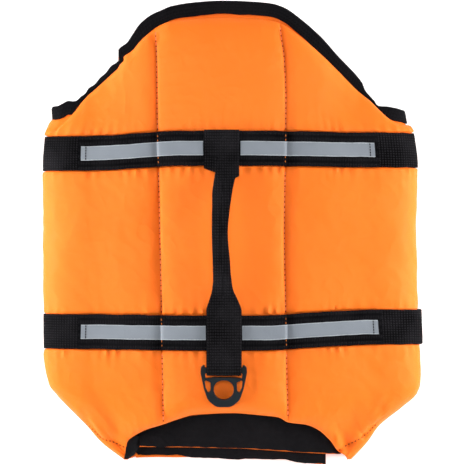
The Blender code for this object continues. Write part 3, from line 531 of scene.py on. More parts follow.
def past_tip_seam(x, y):
    """How far a place on the cloth lies beyond the stitches at a tail tip, in mm."""
    past = np.full(np.broadcast(x, y).shape, FAR_FROM_TIP)
    for side, seam in TIP_SEAMS.items():
        knots = np.array(seam)
        inside = (side * x > TIP_ZONE[0]) & (side * x < TIP_ZONE[1])
        past = np.where(inside, (np.interp(x, knots[:, 0], knots[:, 1]) - y) * 0.8, past)
    return past


# Lines of cloth across each panel, closer together at the seams and round the fold
CENTRE_HALF = [0.0, 0.3, 0.58, 0.76, 0.88, 0.96, 1.0]
SIDE_LINES = [1.0, 1.05, 1.12, 1.2, 1.28, 1.38, 1.48, 1.6, 1.72, 1.86, 2.0, 2.14, 2.28, 2.42, 2.56,
              2.7, 2.85, 3.0, 4.0]
side_columns = spread(SIDE_LINES, [3, 3, 3, 3, 4, 4, 4, 4, 5, 5, 6, 6, 6, 5, 4, 3, 3, 2])
centre_lines = [-c for c in CENTRE_HALF[:0:-1]] + CENTRE_HALF
panels = {
    "back_centre_panel": spread(centre_lines, [2, 3, 4, 5, 7, 8, 8, 7, 5, 4, 3, 2]),
    "side_panel_right": side_columns,
    "side_panel_left": -side_columns,
}

# Soft wrinkles all over: height, length across, length along and seed
WRINKLES = [(0.8, 44, 52, 1), (0.35, 17, 21, 2), (0.10, 6, 7, 3)]
PUCKER_HEIGHT, PUCKER_PITCH, PUCKER_REACH = 1.4, 7.4, 4.0
GATHER_HEIGHT, GATHER_REACH = 0.8, 4.0
HEM_PUCKER = 0.7


def slanted_ripple(u, v, length_u, length_v, seed):
    return ripple(0.8 * u + 0.6 * v, 0.8 * v - 0.6 * u, length_u, length_v, seed)


def relief(g, y, swell):
    """How far the cloth stands out of its even shape, in mm: soft wrinkles and puckers at what is sewn."""
    u, v = cloth_width(g), y
    waves = sum(height * ripple(u, v, across, along, seed) for height, across, along, seed in WRINKLES)
    waves += 0.5 * (np.abs(slanted_ripple(u, v, 11, 46, 4)) - 0.4) * np.clip(np.abs(u) / 90, 0.25, 1)
    wobble = 3.2 * ripple(u, v, 21, 60, 6)
    pucker = 1 - 2 * np.abs(np.sin(math.pi * (u + wobble) / PUCKER_PITCH))
    pucker *= PUCKER_HEIGHT * (0.7 + 0.8 * ripple(u, v, 17, 30, 5))
    for strap in STRAPS:
        off = np.abs(y - strap_line(strap, g)) - WEBBING / 2
        waves += pucker * np.exp(-np.clip(off, 0, None) / PUCKER_REACH)
        waves *= ease((off - 0.2) / 1.6)
    seam_off = np.abs(u - np.where(g < 0, cloth_width(-1.0), cloth_width(1.0)))
    gathered = ripple(0 * u, v, 9, 7.5, 8) + 0.6 * ripple(0 * u, v, 9, 3.6, 9)
    waves += GATHER_HEIGHT * gathered * np.exp(-seam_off / GATHER_REACH) * ease(seam_off) * ease(swell)
    return waves * np.clip(0.35 + 0.65 * swell, 0, 1)


def hem_relief(g, y, hem, foam):
    """Puckers square to the tail hem and to the front edge of the foam."""
    u = cloth_width(g)
    tail, front = y - hem, foam - y
    pucker = ripple(u, 0 * u, 6.5, 9, 12) + 0.5 * ripple(u, 0 * u, 3.2, 9, 13)
    return HEM_PUCKER * pucker * (np.exp(-np.abs(tail) / 7.0) + 0.8 * np.exp(-np.clip(front, 0, None) / 6.0))


# Creases where the padding ends at each front-leg corner: side, middle, direction and half length
CORNER_CREASES = [(-1, (-124.0, 80.4), (0.683, 0.730), 12), (1, (126.5, 79.2), (0.874, -0.486), 8)]
TIP_TUG = {"side_panel_left": 1.5, "back_centre_panel": 1.5, "side_panel_right": 2.4}
TIP_GROOVE = 0.9
RING_X = -5.8
RING_ROOM = 22.0
SEAM_INSET = 0.02

for node, columns in panels.items():
    y, inner_y, swell, sink, lip = cloth_net(columns)
    g = columns[:, None] + 0 * y
    x = face_at(g, y)[0]
    past = past_tip_seam(x, y)
    on_top = np.clip((2.5 - np.abs(g)) / 0.3, 0, 1)
    swell = swell * (1 - 0.85 * ease((past + 5) / 6) * on_top)
    for side, (at_x, at_y), (turn_x, turn_y), reach in CORNER_CREASES:
        along = turn_x * (x - at_x) + turn_y * (y - at_y)
        off = turn_x * (y - at_y) - turn_y * (x - at_x)
        corner = on_top * (side * g > 0) * (y > 60)
        swell = swell * (1 - 0.97 * ease((off + 0.2) / 1.3) * ease((reach - np.abs(along)) / 3) * corner)
    outer, _, out = skins(g, y, swell, sink, lip=lip)
    inner = skins(g, inner_y, swell, sink, lip=lip)[1]
    foam = np.array([front_at(c)[0] for c in columns])[:, None]
    rise = relief(g, y, swell) + hem_relief(g, y, y[:, -1:], foam)
    tug = slanted_ripple(outer[..., 0], y, 5.0, 16, 14) * np.exp(-np.abs(past + 3) / 7.0) * (past > -40)
    rise += (TIP_TUG[node] * tug - TIP_GROOVE * np.exp(-((past / 1.3) ** 2))) * on_top
    rise = np.where(np.abs(g) > 2.55, np.minimum(rise, 0), rise) * np.clip((3.3 - np.abs(g)) / 0.5, 0, 1)
    near_ring = (np.abs(outer[..., 0] - RING_X) < RING_ROOM) & (y < -90)
    rise = np.where(near_ring, np.minimum(0.35 * rise, 0.15), rise)
    rise *= np.clip(np.abs(np.abs(g) - 1.0) * 23, 0, 1) * (swell > 0)
    outer = outer + out * rise[..., None]
    at_seam = np.isclose(np.abs(columns), 1.0) * np.sign(columns) * (1 if "side" in node else -1)
    for skin in (outer, inner):
        skin[..., 0] += SEAM_INSET * at_seam[:, None]
    uv = np.stack([cloth_width(g), y], axis=-1)
    name = node.replace("panel", "padding")
    padding = put(name, wall_mesh(name, outer, inner, uv), orange_nylon, [node], rim=0.12)

# ==== Quilting stitches ====
# Two rows of lockstitch sink between the channels and hold the cloth down on the lining: pale threads with
# dark red spots between them, painted shade in the stitch holes, orange where they cross a strap. A row of
# dark red closes each tail tip.

STITCH_PITCH, TIP_STITCH_PITCH = 3.8, 2.7


def thread_material(name, colour):
    made, tree, shader, spot = material(name, 0.5, specular=0.05)
    touch = placed(tree, handling, spot, 60.0)
    tone = mixed(tree, ranged(tree, touch["Fine"], 0.35, 0.65), [0.6 * c for c in colour], colour)
    tree.links.new(tone, shader.inputs["Base Color"])
    bumped(tree, shader, (touch["Fine"], 0.00005))
    return made


# Dark red: the thread of the rows at the tail tips, and painted shade in the stitch holes of the quilting
# rows.
red_thread_and_hole_shade = thread_material("red_thread_and_hole_shade", (0.20, 0.014, 0.010))
salmon_thread = thread_material("salmon_thread", (0.95, 0.27, 0.11))
orange_thread = thread_material("orange_thread", (0.62, 0.16, 0.03))
black_thread = thread_material("black_thread", (0.014, 0.013, 0.015))


def stitch_row(bm, points, lift=0.15, length=1.7, width=0.7, height=0.5):
    """Sews short rounded threads along points (x, y, z) in mm, one to each stretch between two points."""
    for start, end in zip(points, points[1:]):
        start, end = Vector(start), Vector(end)
        run = (end - start).normalized()
        across = run.cross(Vector((0, 0, 1))).normalized()
        up = across.cross(run)
        made = bmesh.ops.create_uvsphere(bm, u_segments=6, v_segments=4, radius=0.5)
        turn = Matrix((run * length, across * width, up * height)).transposed().to_4x4()
        turn.translation = (start + end) / 2 + up * lift
        bmesh.ops.transform(bm, matrix=Matrix.Scale(MM, 4) @ turn, verts=made["verts"])


def sewn(name, bm, finish):
    return put(name, as_mesh(bm, name), finish, [])


salmon, red, orange = bmesh.new(), bmesh.new(), bmesh.new()
for g in (-1.0, 1.0):
    places = np.arange(cloth_rows(g)[1][0] - 2.0, float(hem_at(g)) + 2.0, -STITCH_PITCH)
    under_strap = np.zeros(len(places), bool)
    for strap in STRAPS:
        middle = float(strap_line(strap, g))
        under_strap |= np.abs(places - middle) < WEBBING / 2 + 1.5
        part = np.linspace(middle + 11, middle - 11, 8)
        stitch_row(orange, skins(g, part, sink=-1.25, bridge=STRAP_BRIDGE)[0], width=0.6)
    turns = np.flatnonzero(np.diff(under_strap.astype(int))) + 1
    for part, hidden in zip(np.split(places, turns), np.split(under_strap, turns)):
        if not hidden[0]:
            stitch_row(salmon, skins(g, part, sink=-0.05)[0], lift=0.35, length=2.5, width=0.9, height=0.6)
            # Dark red spots in the holes between the threads: painted shade.
            hole_shade_spots = skins(g, part - STITCH_PITCH / 2, sink=-0.05)[0]
            stitch_row(red, hole_shade_spots, lift=0.5, length=1.2, width=1.0, height=0.6)
for side, seam in TIP_SEAMS.items():
    cloth = bmesh.new()
    cloth.from_mesh(bpy.data.objects["side_padding_left" if side < 0 else "side_padding_right"].data)
    surface = BVHTree.FromBMesh(cloth)
    cloth.free()
    knots = np.array(seam)
    run = np.concatenate([[0.0], np.cumsum(np.hypot(*np.diff(knots, axis=0).T))])
    spots = np.arange(0.0, run[-1], TIP_STITCH_PITCH)
    x, y = (np.interp(spots, run, knots[:, k]) for k in (0, 1))
    hits = [surface.ray_cast(Vector((a * MM, b * MM, 0.1)), Vector((0, 0, -1)))[0] for a, b in zip(x, y)]
    stitch_row(red, [hit / MM for hit in hits if hit], lift=0.2, length=1.5, width=0.85)
sewn("quilting_stitches", salmon, salmon_thread)
sewn("red_lockstitches", red, red_thread_and_hole_shade)
sewn("strap_crossing_stitches", orange, orange_thread)

# ==== Neck binding ====
# Black grosgrain tape folded over the raw neck and front-leg edge and sewn down along both of its sides.
# It waves a little where it goes round a bend.

black_binding, tree, shader, spot = material("black_binding", 0.72, specular=0.025, sheen=0.004)
cross_ribs = placed(tree, threads, layout(tree), 0.0011, 0.0030)
touch = placed(tree, handling, spot, 30.0)
# Painted shade: the tape is darker in the furrows between its cross ribs and lighter on their raised tops.
rib_painted_shade = ranged(tree, cross_ribs["Height"], 0.0, 1.0)
tone = mixed(tree, rib_painted_shade, (0.0016, 0.0015, 0.002), (0.0065, 0.006, 0.0072))
worn =maths(tree, "MULTIPLY", ranged(tree, touch["Tone"], 0.4, 0.75), 0.4)
tone = mixed(tree, worn, tone, (0.011, 0.0102, 0.012))
bumps = (cross_ribs["Height"], 0.00022), (touch["Crease"], 0.0002)
finished(tree, shader, tone, touch["Fine"], 0.62, 0.82, *bumps)

ALL_COLUMNS = np.concatenate([-side_columns[::-1], panels["back_centre_panel"][1:-1], side_columns])
# along (0 sewn edge, 1 lip's tip), past the tip, off the lip's middle; outside and inside the fold
TAPE_FOLD = [(0, 0, 2.5), (0.25, 0, 2.6), (0.5, 0, 2.6), (0.75, 0, 2.6), (1, 0, 2.5), (1, 0.9, 2),
             (1, 1.4, 1.2), (1, 1.6, 0)]
TAPE_INNER = [(0, 0, 1.3), (0.25, 0, 1.3), (0.5, 0, 1.3), (0.75, 0, 1.3), (1, 0, 1.3), (1, 0.3, 1),
              (1, 0.3, 0.6), (1, 0.35, 0)]
for profile in (TAPE_FOLD, TAPE_INNER):
    profile += [(along, past, -off) for along, past, off in reversed(profile[:-1])]
ABOVE_FLOOR = -np.inf, -np.inf, 0.0
outer, inner = [], []
for g in ALL_COLUMNS:
    foam, edge, slant = front_at(g)
    root = root_at(g, foam, edge, slant)
    wave = float(ripple(np.array(float(cloth_width(g))), np.array(0.0), 9, 9, 21))
    tip = edge - BINDING_OUT * slant
    sewn_edge = max(edge - BINDING_WIDTH * slant, root + 0.6) + 0.35 * wave
    for net, profile, bow in ((outer, TAPE_FOLD, 0.25 * wave), (inner, TAPE_INNER, 0.0)):
        net.append([])
        for along, past, off in profile:
            upper_skin, lower_skin, out = skins(g, lerp(sewn_edge, tip, along), swell=0.0, lip=1.0)
            off += math.copysign(bow * math.sin(math.pi * along), off)
            point = (upper_skin + lower_skin) / 2 + out * off + np.array([0, past * slant, 0])
            net[-1].append(np.maximum(point, ABOVE_FLOOR))
outer, inner = np.array(outer), np.array(inner)
edge_run = np.concatenate([[0.0], np.cumsum(np.linalg.norm(np.diff(outer[:, 7], axis=0), axis=1))])
tape_run = np.array([0, 2.5, 5, 7.5, 10, 11, 11.8, 12.5, 13.2, 14, 15, 17.5, 20, 22.5, 25.0])
uv = np.stack(np.broadcast_arrays(edge_run[:, None], tape_run[None, :]), axis=-1)
mesh = wall_mesh("neck_binding_tape", outer, inner, uv)
binding = put("neck_binding_tape", mesh, black_binding, ["neck_binding"], rim=0.25)

# ==== Belly flaps and linings ====
# The flaps carry the side panels on under the belly, the right one over the left, and close with touch
# fastening between them. Black polyester lines the whole inside and stops just short of each hem.

black_lining, tree, shader, spot = material("black_lining", 0.5, specular=0.06, sheen=0.004)
weave = placed(tree, threads, spot, 0.0006, 0.0006)
touch = placed(tree, handling, spot, 26.0)
tone = mixed(tree, ranged(tree, touch["Tone"], 0.3, 0.7), (0.0042, 0.0038, 0.0048), (0.0078, 0.0072, 0.0086))
finished(tree, shader, tone, touch["Fine"], 0.58, 0.76, (weave["Height"], 0.00008), (touch["Crease"], 0.0004))


def softened(node, longest, name):
    """A merged copy of a solid, with its long faces parted until none is longer than longest mm."""
    bm = bmesh.new()
    bm.from_mesh(frame["nodes"][node].data)
    bmesh.ops.remove_doubles(bm, verts=bm.verts[:], dist=1e-6)
    bmesh.ops.join_triangles(bm, faces=bm.faces[:], angle_face_threshold=0.6, angle_shape_threshold=0.9)
    for _ in range(6):
        long_edges = [edge for edge in bm.edges if edge.calc_length() > longest * MM]
        if not long_edges:
            break
        bmesh.ops.subdivide_edges(bm, edges=long_edges, cuts=1, use_grid_fill=True)
    mesh = as_mesh(bm, name)
    lay_out(mesh, points_of(mesh)[:, :2])
    return mesh


# Places across the belly where each layer's drop towards the tail is given, and where it starts
LET_DOWN_AT = -76, -40, -28, 60
LET_DOWN_FROM, LET_DOWN_OVER = -136, 16
FLAP_CORNER_OUT = 3.0


def let_down(mesh, drops, rumple, wider=0.0):
    """Lets the tail end of a belly layer down by its drops across it, in mm, and rumples it there.

    Its left corner comes out by wider mm.
    """
    for vert in mesh.vertices:
        x, y = vert.co.xy / MM
        near = float(ease((LET_DOWN_FROM - y) / LET_DOWN_OVER))
        wave = noise.noise(Vector((x / 12, y / 30, 3.1))) + 0.6 * noise.noise(Vector((x / 5, y / 12, 9.4)))
        vert.co.y -= near * (float(np.interp(x, LET_DOWN_AT, drops)) + 0.8 * wave * min(rumple, 1)) * MM
        corner = float(ease((-56 - x) / 10) * ease((-157 - y) / 5))
        vert.co.x += (near * 2.0 * float(ease((x - 45) / 20)) - wider * corner) * MM
        vert.co.z += near * rumple * max(0.0, 0.5 + wave) * MM


for side, flap_drop, lining_drop, rumple in (
    ("left", (1.3, 1.2, 0.6, 1.6), (0.8, 0.8, 2.8, 3.2), 1.7),
    ("right", (2.0, 2.0, 2.0, 2.2), (3.1, 3.1, 3.1, 3.3), 0.8),
):
    node, name = f"belly_flap_{side}", f"belly_flap_{side}_padding"
    mesh = softened(node, 5.0, name)
    let_down(mesh, flap_drop, 0.0, wider=FLAP_CORNER_OUT)
    put(name, mesh, orange_nylon, [node], rim=0.4)
    lining, name = f"belly_lining_{side}", f"belly_{side}_lining_cloth"
    mesh = softened(lining, 3.5, name)
    let_down(mesh, lining_drop, rumple)
    cloth = put(name, mesh, black_lining, [lining], rim=0.2)
    low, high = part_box(lining)
    width, length = float(high[0] - low[0]), float(high[1] - low[1])

# At the left tail tip the lining slips out past the hem in a small fold: x, y along the hem and the fold.
SLIP_HEM = [(-74.6, -150.0), (-77.2, -154.0), (-78.0, -160.0), (-78.6, -165.0), (-79.2, -167.4)]
SLIP_FOLD = [(-64.5, -150.6), (-67.0, -155.6), (-69.4, -160.4), (-71.6, -164.2), (-76.6, -167.6)]
SLIP_DEPTH = 0.8
mesh = softened("back_lining", 6.0, "back_lining_cloth")
bm = bmesh.new()
bm.from_mesh(mesh)
flat_uv = bm.loops.layers.uv["Cloth"]
bridge = []
for k, (at_hem, at_fold) in enumerate(zip(SLIP_HEM, SLIP_FOLD)):
    hem, fold = Vector((*at_hem, lerp(14.5, 10.5, k / 4))), Vector((*at_fold, lerp(8.5, 6.0, k / 4)))
    middle = (hem + fold) / 2 + Vector((0.4, 0, 1.8 - 0.2 * k))
    line = hem, hem.lerp(middle, 0.55), middle, middle.lerp(fold, 0.6), fold
    bridge.append([bm.verts.new(point * MM) for point in line])
slip = []
for row, after in zip(bridge, bridge[1:]):
    slip += [bm.faces.new((a, b, d, c)) for a, b, c, d in zip(row, row[1:], after, after[1:])]
for face in slip:
    for loop in face.loops:
        loop[flat_uv].uv = loop.vert.co.xy
bmesh.ops.recalc_face_normals(bm, faces=slip)
bmesh.ops.solidify(bm, geom=slip, thickness=SLIP_DEPTH * MM)
bm.to_mesh(mesh)
bm.free()
cloth = put("back_lining_cloth", mesh, black_lining, ["back_lining"], rim=0.2)

# ==== Straps, ribbons and tapes ====
# Two loops of 25 mm black polypropylene webbing run round the body. On the back each carries a finer ribbed
# ribbon, and on that two grey reflective tapes with bright borders, sewn along both of their sides.

# Ribs: the height of the small raised cells of a heavy webbing, with furrows both ways between them. The
# webbing materials paint shade into the furrows from this height.
ribs, ins, outs = node_group("Ribs", {"Across": 0.0016, "Along": 0.0016}, ["Height"])
cells = [maths(ribs, "ABSOLUTE", wave) for wave in waves_both_ways(ribs, ins)]
ribs.links.new(maths(ribs, "POWER", maths(ribs, "MULTIPLY", *cells), 1.3), outs["Height"])


def ribbed(name, pitch, coarse, painted_furrow_shade, light, roughness, laid_out=True):
    """Black webbing or ribbon, with its ribs on the cloth's own layout or, on the belly, on the object's, and
    painted shade: dark in the furrows, lighter on the rib tops.
    """
    made, tree, shader, spot = material(name, roughness, specular=0.015, sheen=0.002)
    cell = placed(tree, ribs, layout(tree) if laid_out else spot, pitch, coarse)
    touch = placed(tree, handling, spot, 35.0)
    worn = maths(tree, "MULTIPLY", ranged(tree, touch["Tone"], 0.4, 0.7), 0.35)
    # Painted shade: the colour is dark in the furrows between the ribs and lighter on their tops; worn
    # patches are lighter still.
    tone = mixed(tree, worn, mixed(tree, cell["Height"], painted_furrow_shade, light), [1.8 * c for c in light])
    bumps = (cell["Height"], 0.0005), (touch["Fine"], 0.00008)
    finished(tree, shader, tone, touch["Fine"], roughness - 0.08, roughness + 0.1, *bumps)
    return made


# The first colour of each webbing is the painted shade in its furrows, the second the tops of its ribs.
black_webbing = ribbed("black_webbing", 0.0021, 0.0018, (0.0003, 0.0003, 0.0004),
                       (0.0152, 0.0142, 0.0162), 0.7)
black_ribbon = ribbed("black_ribbon", 0.0012, 0.0046, (0.0018, 0.0017, 0.0022), (0.0085, 0.008, 0.0094), 0.62)

BRIGHT_BEADS = 0.34, 0.37, 0.4
reflective_tape, tree, shader, spot = material("reflective_tape", 0.38, specular=0.15)
flat = layout(tree)
across = maths(tree, "ABSOLUTE", wired(tree, "ShaderNodeSeparateXYZ", flat).outputs[1])
beads = placed(tree, threads, flat, 0.0005, 0.0005)
touch = placed(tree, handling, spot, 28.0)
tone = mixed(tree, ranged(tree, touch["Tone"], 0.3, 0.7), (0.172, 0.192, 0.22), (0.208, 0.23, 0.26))
tone = mixed(tree, ranged(tree, across, 0.0045, 0.0047), tone, BRIGHT_BEADS)
tone = mixed(tree, maths(tree, "MULTIPLY", beads["Height"], 0.15), tone, BRIGHT_BEADS)
finished(tree, shader, tone, touch["Fine"], 0.3, 0.46, (beads["Height"], 0.00005), (touch["Crease"], 0.0001))

TAPE_WIDTH, TAPE_DEPTH, RIBBON_DEPTH = 10.4, 0.6, 0.8
TAPES = {"left": (-2.03, -0.292), "right": (0.294, 2.0)}
RIBBON_ENDS = -2.05, 2.03
RIGHT_FOLD_PROUD = 1.5
TAPE_STITCH_OFF, RIBBON_STITCH_OFF, END_STITCH_IN = 4.7, 10.6, 3.4
# share of the way across from the middle, share of the full thickness
BAND_EDGE = [(-1.0, 0.3), (-0.985, 0.75), (-0.95, 1.0), (-0.6, 1.0), (-0.2, 1.0), (0.2, 1.0), (0.6, 1.0),
             (0.95, 1.0), (0.985, 0.75), (1.0, 0.3)]


def on_strap(strap, g, off, height):
    """Points over the cloth along a strap, off to one side of its middle line, all in mm."""
    return skins(g, strap_line(strap, g) + off, sink=-height, bridge=STRAP_BRIDGE)[0]


def band(name, strap, start, end, width, low, high, finish, slot, node):
    """Webbing, ribbon or tape along a strap, between two heights over the cloth, with soft sides."""
    middle_columns = ALL_COLUMNS[(ALL_COLUMNS > start + 0.005) & (ALL_COLUMNS < end - 0.005)]
    g = np.concatenate([[start], middle_columns, [end]])[:, None]
    share, full = np.array(BAND_EDGE).T[:, None, :]
    u = cloth_width(g)
    off = share * width / 2 + 0.18 * ripple(u, 0 * u, 11, 9, 31 + width)
    lie = 0.12 * ripple(u, share * 5, 12, 6, 33) * (high - low > 1)
    proud = RIGHT_FOLD_PROUD * ease((g - 2.1) / 0.3) * ease((3.1 - g) / 0.3) * (strap == "rear")
    middle, half = (low + high) / 2 + lie + proud, full * (high - low) / 2
    outer = np.maximum(on_strap(strap, g, off, middle + half), ABOVE_FLOOR)
    inner = on_strap(strap, g, off, middle - half)
    uv = np.stack(np.broadcast_arrays(u, share * width / 2), axis=-1)
    piece = put(name, wall_mesh(name, outer, inner, uv), finish, [node])


def spots_along(start, end, pitch):
    """Lines of the cloth every pitch mm from one line to another."""
    return np.interp(np.arange(cloth_width(start) + 1, cloth_width(end) - 1, pitch), width_run, WIDTH_PLACES)


grey_thread = thread_material("grey_thread", (0.42, 0.45, 0.48))
black, grey = bmesh.new(), bmesh.new()
ribbon_top = SEAM_GAP + RIBBON_DEPTH
tape_low = ribbon_top + SEAM_GAP
tape_top = tape_low + TAPE_DEPTH
for strap in STRAPS:
    band(f"{strap}_webbing", strap, -4.0, 4.0, WEBBING, -WEBBING_DEPTH, 0.0,
         black_webbing, "black_webbing", f"webbing_{strap}")
    band(f"{strap}_ribbon", strap, *RIBBON_ENDS, WEBBING, SEAM_GAP, ribbon_top,
         black_ribbon, "black_ribbon", f"ribbon_{strap}")
    for side, (start, end) in TAPES.items():
        band(f"{strap}_{side}_tape", strap, start, end, TAPE_WIDTH, tape_low, tape_top,
             reflective_tape, "reflective_tape", f"reflective_tape_{strap}_{side}")
        g = spots_along(start, end, 2.6)
        for off in (-TAPE_STITCH_OFF, TAPE_STITCH_OFF):
            stitch_row(grey, on_strap(strap, g, off, tape_top), lift=0.0, length=1.9, width=0.4, height=0.3)
        sewn_at = cloth_width(start) + END_STITCH_IN if side == "left" else cloth_width(end) - END_STITCH_IN
        g = np.full(6, np.interp(sewn_at, width_run, WIDTH_PLACES))
        across = on_strap(strap, g, np.linspace(-5.0, 5.0, 6), tape_top)
        stitch_row(black, across, lift=0.1, length=1.9, width=0.8, height=0.4)
    g = spots_along(*RIBBON_ENDS, 3.0)
    for off in (-RIBBON_STITCH_OFF, RIBBON_STITCH_OFF):
        stitch_row(black, on_strap(strap, g, off, ribbon_top), lift=0.02, length=2.2, width=0.5, height=0.3)
sewn("tape_stitches", grey, grey_thread)
sewn("ribbon_stitches", black, black_thread)

# ==== Handle and lead ring ====
# A grab handle of the same webbing, folded in half and sewn along its middle where the hand goes. Its ends
# open out flat on the straps, and the tail end loops round the bar of the moulded lead ring.

RING_BAR_Y, RING_BAR_Z, LOOP_RADIUS, LOOP_STEPS = -100.3, 49.516, 3.25, 8
HANDLE_STEP, HANDLE_WIDTH = 1.6, 26
SEWN = -20.0, 5.4, WEBBING_DEPTH
LAID = -18.4, 7.2, WEBBING_DEPTH
# y, height over the cloth, left side, right side, depth
HANDLE_TOP = [
    (74.6, 2.15, *SEWN), (62.0, 2.15, *SEWN), (54.3, 2.3, *SEWN), (53.2, 2.6, -13.0, 5.4, 1.5),
    (49.0, 4.3, -12.5, 5.4, 1.6), (44.5, 5.9, -12.0, 5.5, 1.9), (40.8, 6.6, -12.3, 5.5, 2.5),
    (39.6, 6.8, -12.5, 2.8, 3.0), (34.0, 8.0, -13.4, 1.3, 3.8), (26.0, 9.4, -14.2, -0.2, 4.2),
    (14.0, 10.8, -14.3, -1.8, 4.4), (0.0, 11.6, -14.3, -2.7, 4.4), (-18.0, 11.0, -13.9, -1.6, 4.4),
    (-32.0, 9.6, -13.6, -0.4, 4.2), (-41.0, 8.2, -14.2, 0.8, 3.6), (-49.0, 6.6, -16.2, 4.4, 2.4),
    (-57.0, 5.0, -18.4, 7.2, 1.6), (-64.0, 4.05, *LAID), (-84.0, 4.15, *LAID), (-91.0, 5.7, *LAID),
    (-96.0, 7.3, *LAID),
]
HANDLE_UNDER = [(-95.0, 1.25, *LAID), (-89.0, 1.45, *LAID), (-84.5, 2.15, *LAID), (-61.5, 2.15, *LAID)]
# share of the way across, share of the full depth
HANDLE_EDGE = [(0.0, 0.4), (0.015, 0.8), (0.05, 1.0), (0.2, 1.0), (0.35, 1.0), (0.45, 1.0), (0.5, 1.0),
               (0.55, 1.0), (0.65, 1.0), (0.8, 1.0), (0.95, 1.0), (0.985, 0.8), (1.0, 0.4)]
# Where the hand part begins, the left of the webbing turns under it: x, y and height over the cloth.
TURNED_CORNER = [(-20.0, 54.6, 3.0), (-11.0, 55.0, 3.4), (-9.0, 42.5, 4.6), (-12.0, 43.6, 3.6),
                 (-20.2, 46.4, 2.2)]
TURNED_DEPTH = 1.3


def over_back(y, lift):
    """A height over the floor from a height over the cloth on the middle line."""
    return skins(0.0, y, bridge=1.0)[0][2] + lift


line = [(y, over_back(y, lift), *rest) for y, lift, *rest in HANDLE_TOP]
for k in range(LOOP_STEPS + 1):
    turn = math.pi * k / LOOP_STEPS
    y, z = RING_BAR_Y - LOOP_RADIUS * math.sin(turn), RING_BAR_Z + LOOP_RADIUS * math.cos(turn)
    line.append((y, z, *LAID))
line = np.array(line + [(y, over_back(y, lift), *rest) for y, lift, *rest in HANDLE_UNDER], float)
steps = np.maximum(1, np.rint(np.hypot(*np.diff(line[:, :2], axis=0).T) / HANDLE_STEP)).astype(int)
knots = np.arange(len(line), dtype=float)
y, z, left, right, depth = (smooth(values, knots, spread(knots, steps)) for values in line.T)
run_y, run_z = np.array([np.gradient(y), np.gradient(z)]) / np.hypot(np.gradient(y), np.gradient(z))
length = np.concatenate([[0.0], np.cumsum(np.hypot(np.diff(y), np.diff(z)))])
share, full = np.array(HANDLE_EDGE).T[:, :, None]
folded = (depth >= 3.0) * ease((depth - 1.8) / 1.4)
seam = np.exp(-(((share - 0.5) / 0.05) ** 2))
crown = folded * (0.35 * np.cos((share - 0.5) * math.pi * 2.2) - 0.55 * seam)
half = depth / 2 * full
x = lerp(left, right, share) + 0.15 * ripple(length[None, :], share * 9, 13, 5, 41)
outer = np.stack([x, y + run_z * half, z - run_y * (half + crown)], axis=-1)
inner = np.stack([x, y - run_z * half, z + run_y * half], axis=-1)
uv = np.stack(np.broadcast_arrays(length, x), axis=-1)
strip = wall_mesh("grab_handle", outer, inner, uv)
bm = bmesh.new()
bm.from_mesh(strip)
flat_uv = bm.loops.layers.uv["Cloth"]
rim = [bm.verts.new((x * MM, y * MM, over_back(y, lift) * MM)) for x, y, lift in TURNED_CORNER]
under = bm.faces.new(rim)
for loop in under.loops:
    loop[flat_uv].uv = loop.vert.co.y, loop.vert.co.x
lower = thickened(bm, [under], -TURNED_DEPTH * MM)
corner_faces = list({face for vert in rim + lower for face in vert.link_faces})
bmesh.ops.recalc_face_normals(bm, faces=corner_faces)
bm.to_mesh(strip)
bm.free()
handle = put("grab_handle", strip, black_webbing, ["handle"])

dark_plastic, tree, shader, spot = material("dark_plastic", 0.34, specular=0.2)
touch = placed(tree, handling, spot, 40.0)
tone = mixed(tree, ranged(tree, touch["Tone"], 0.3, 0.7), (0.009, 0.0135, 0.0175), (0.013, 0.0195, 0.024))
finished(tree, shader, tone, touch["Fine"], 0.3, 0.46, (touch["Fine"], 0.00006))
for node in ("buckle_front", "buckle_rear"):
    frame["nodes"][node].data.materials.clear()
    frame["nodes"][node].data.materials.append(dark_plastic)

# The ring is one moulding: a bar for the webbing, a thin cross bar, two side windows and a round hole.
# x and v are across and along the plate from the bar; the third number is the radius of the corner.
RING_TILT, RING_DEPTH, RING_EDGE = 12.5, 3.4, 0.6
RING_OUTLINE = [
    (16.6, -2.4, 2.4), (13.7, -4.6, 0.9), (13.7, -1.9, 0.5), (-13.7, -1.9, 0.5), (-13.7, -4.6, 0.9),
    (-16.6, -2.4, 2.4), (-16.9, 1.4, 6.0), (-14.4, 13.6, 12.0), (-11.6, 22.0, 9.0), (-5.5, 27.3, 8.0),
    (5.5, 27.3, 8.0), (11.6, 22.0, 9.0), (14.4, 13.6, 12.0), (16.9, 1.4, 6.0),
]
BAR_SLOT = [(-13.5, 1.8, 0.7), (13.5, 1.8, 0.7), (13.4, 6.1, 0.9), (7.0, 5.2, 8.0), (-7.0, 5.2, 8.0),
            (-13.4, 6.1, 0.9)]
ROUND_HOLE = [(-7.3, 7.2, 6.4), (7.3, 7.2, 6.4), (7.3, 22.0, 7.2), (-7.3, 22.0, 7.2)]
SIDE_WINDOW = [(9.5, 8.7, 0.8), (14.0, 6.7, 0.9), (13.2, 13.0, 4.0), (11.2, 17.3, 0.9), (9.6, 15.0, 1.5)]
OTHER_WINDOW = [(-x, v, radius) for x, v, radius in reversed(SIDE_WINDOW)]


def rounded(corners, steps=7):
    """An outline with each corner turned on its radius."""
    outline = []
    for i, (x, v, radius) in enumerate(corners):
        here = Vector((x, v))
        before = (Vector(corners[i - 1][:2]) - here).normalized()
        after = (Vector(corners[(i + 1) % len(corners)][:2]) - here).normalized()
        half = before.angle(after) / 2
        centre = here + (before + after).normalized() * radius / math.sin(half)
        start = here + before * radius / math.tan(half) - centre
        swing = start.angle_signed(here + after * radius / math.tan(half) - centre)
        outline += [centre + Matrix.Rotation(-swing * k / steps, 2) @ start for k in range(steps + 1)]
    return outline


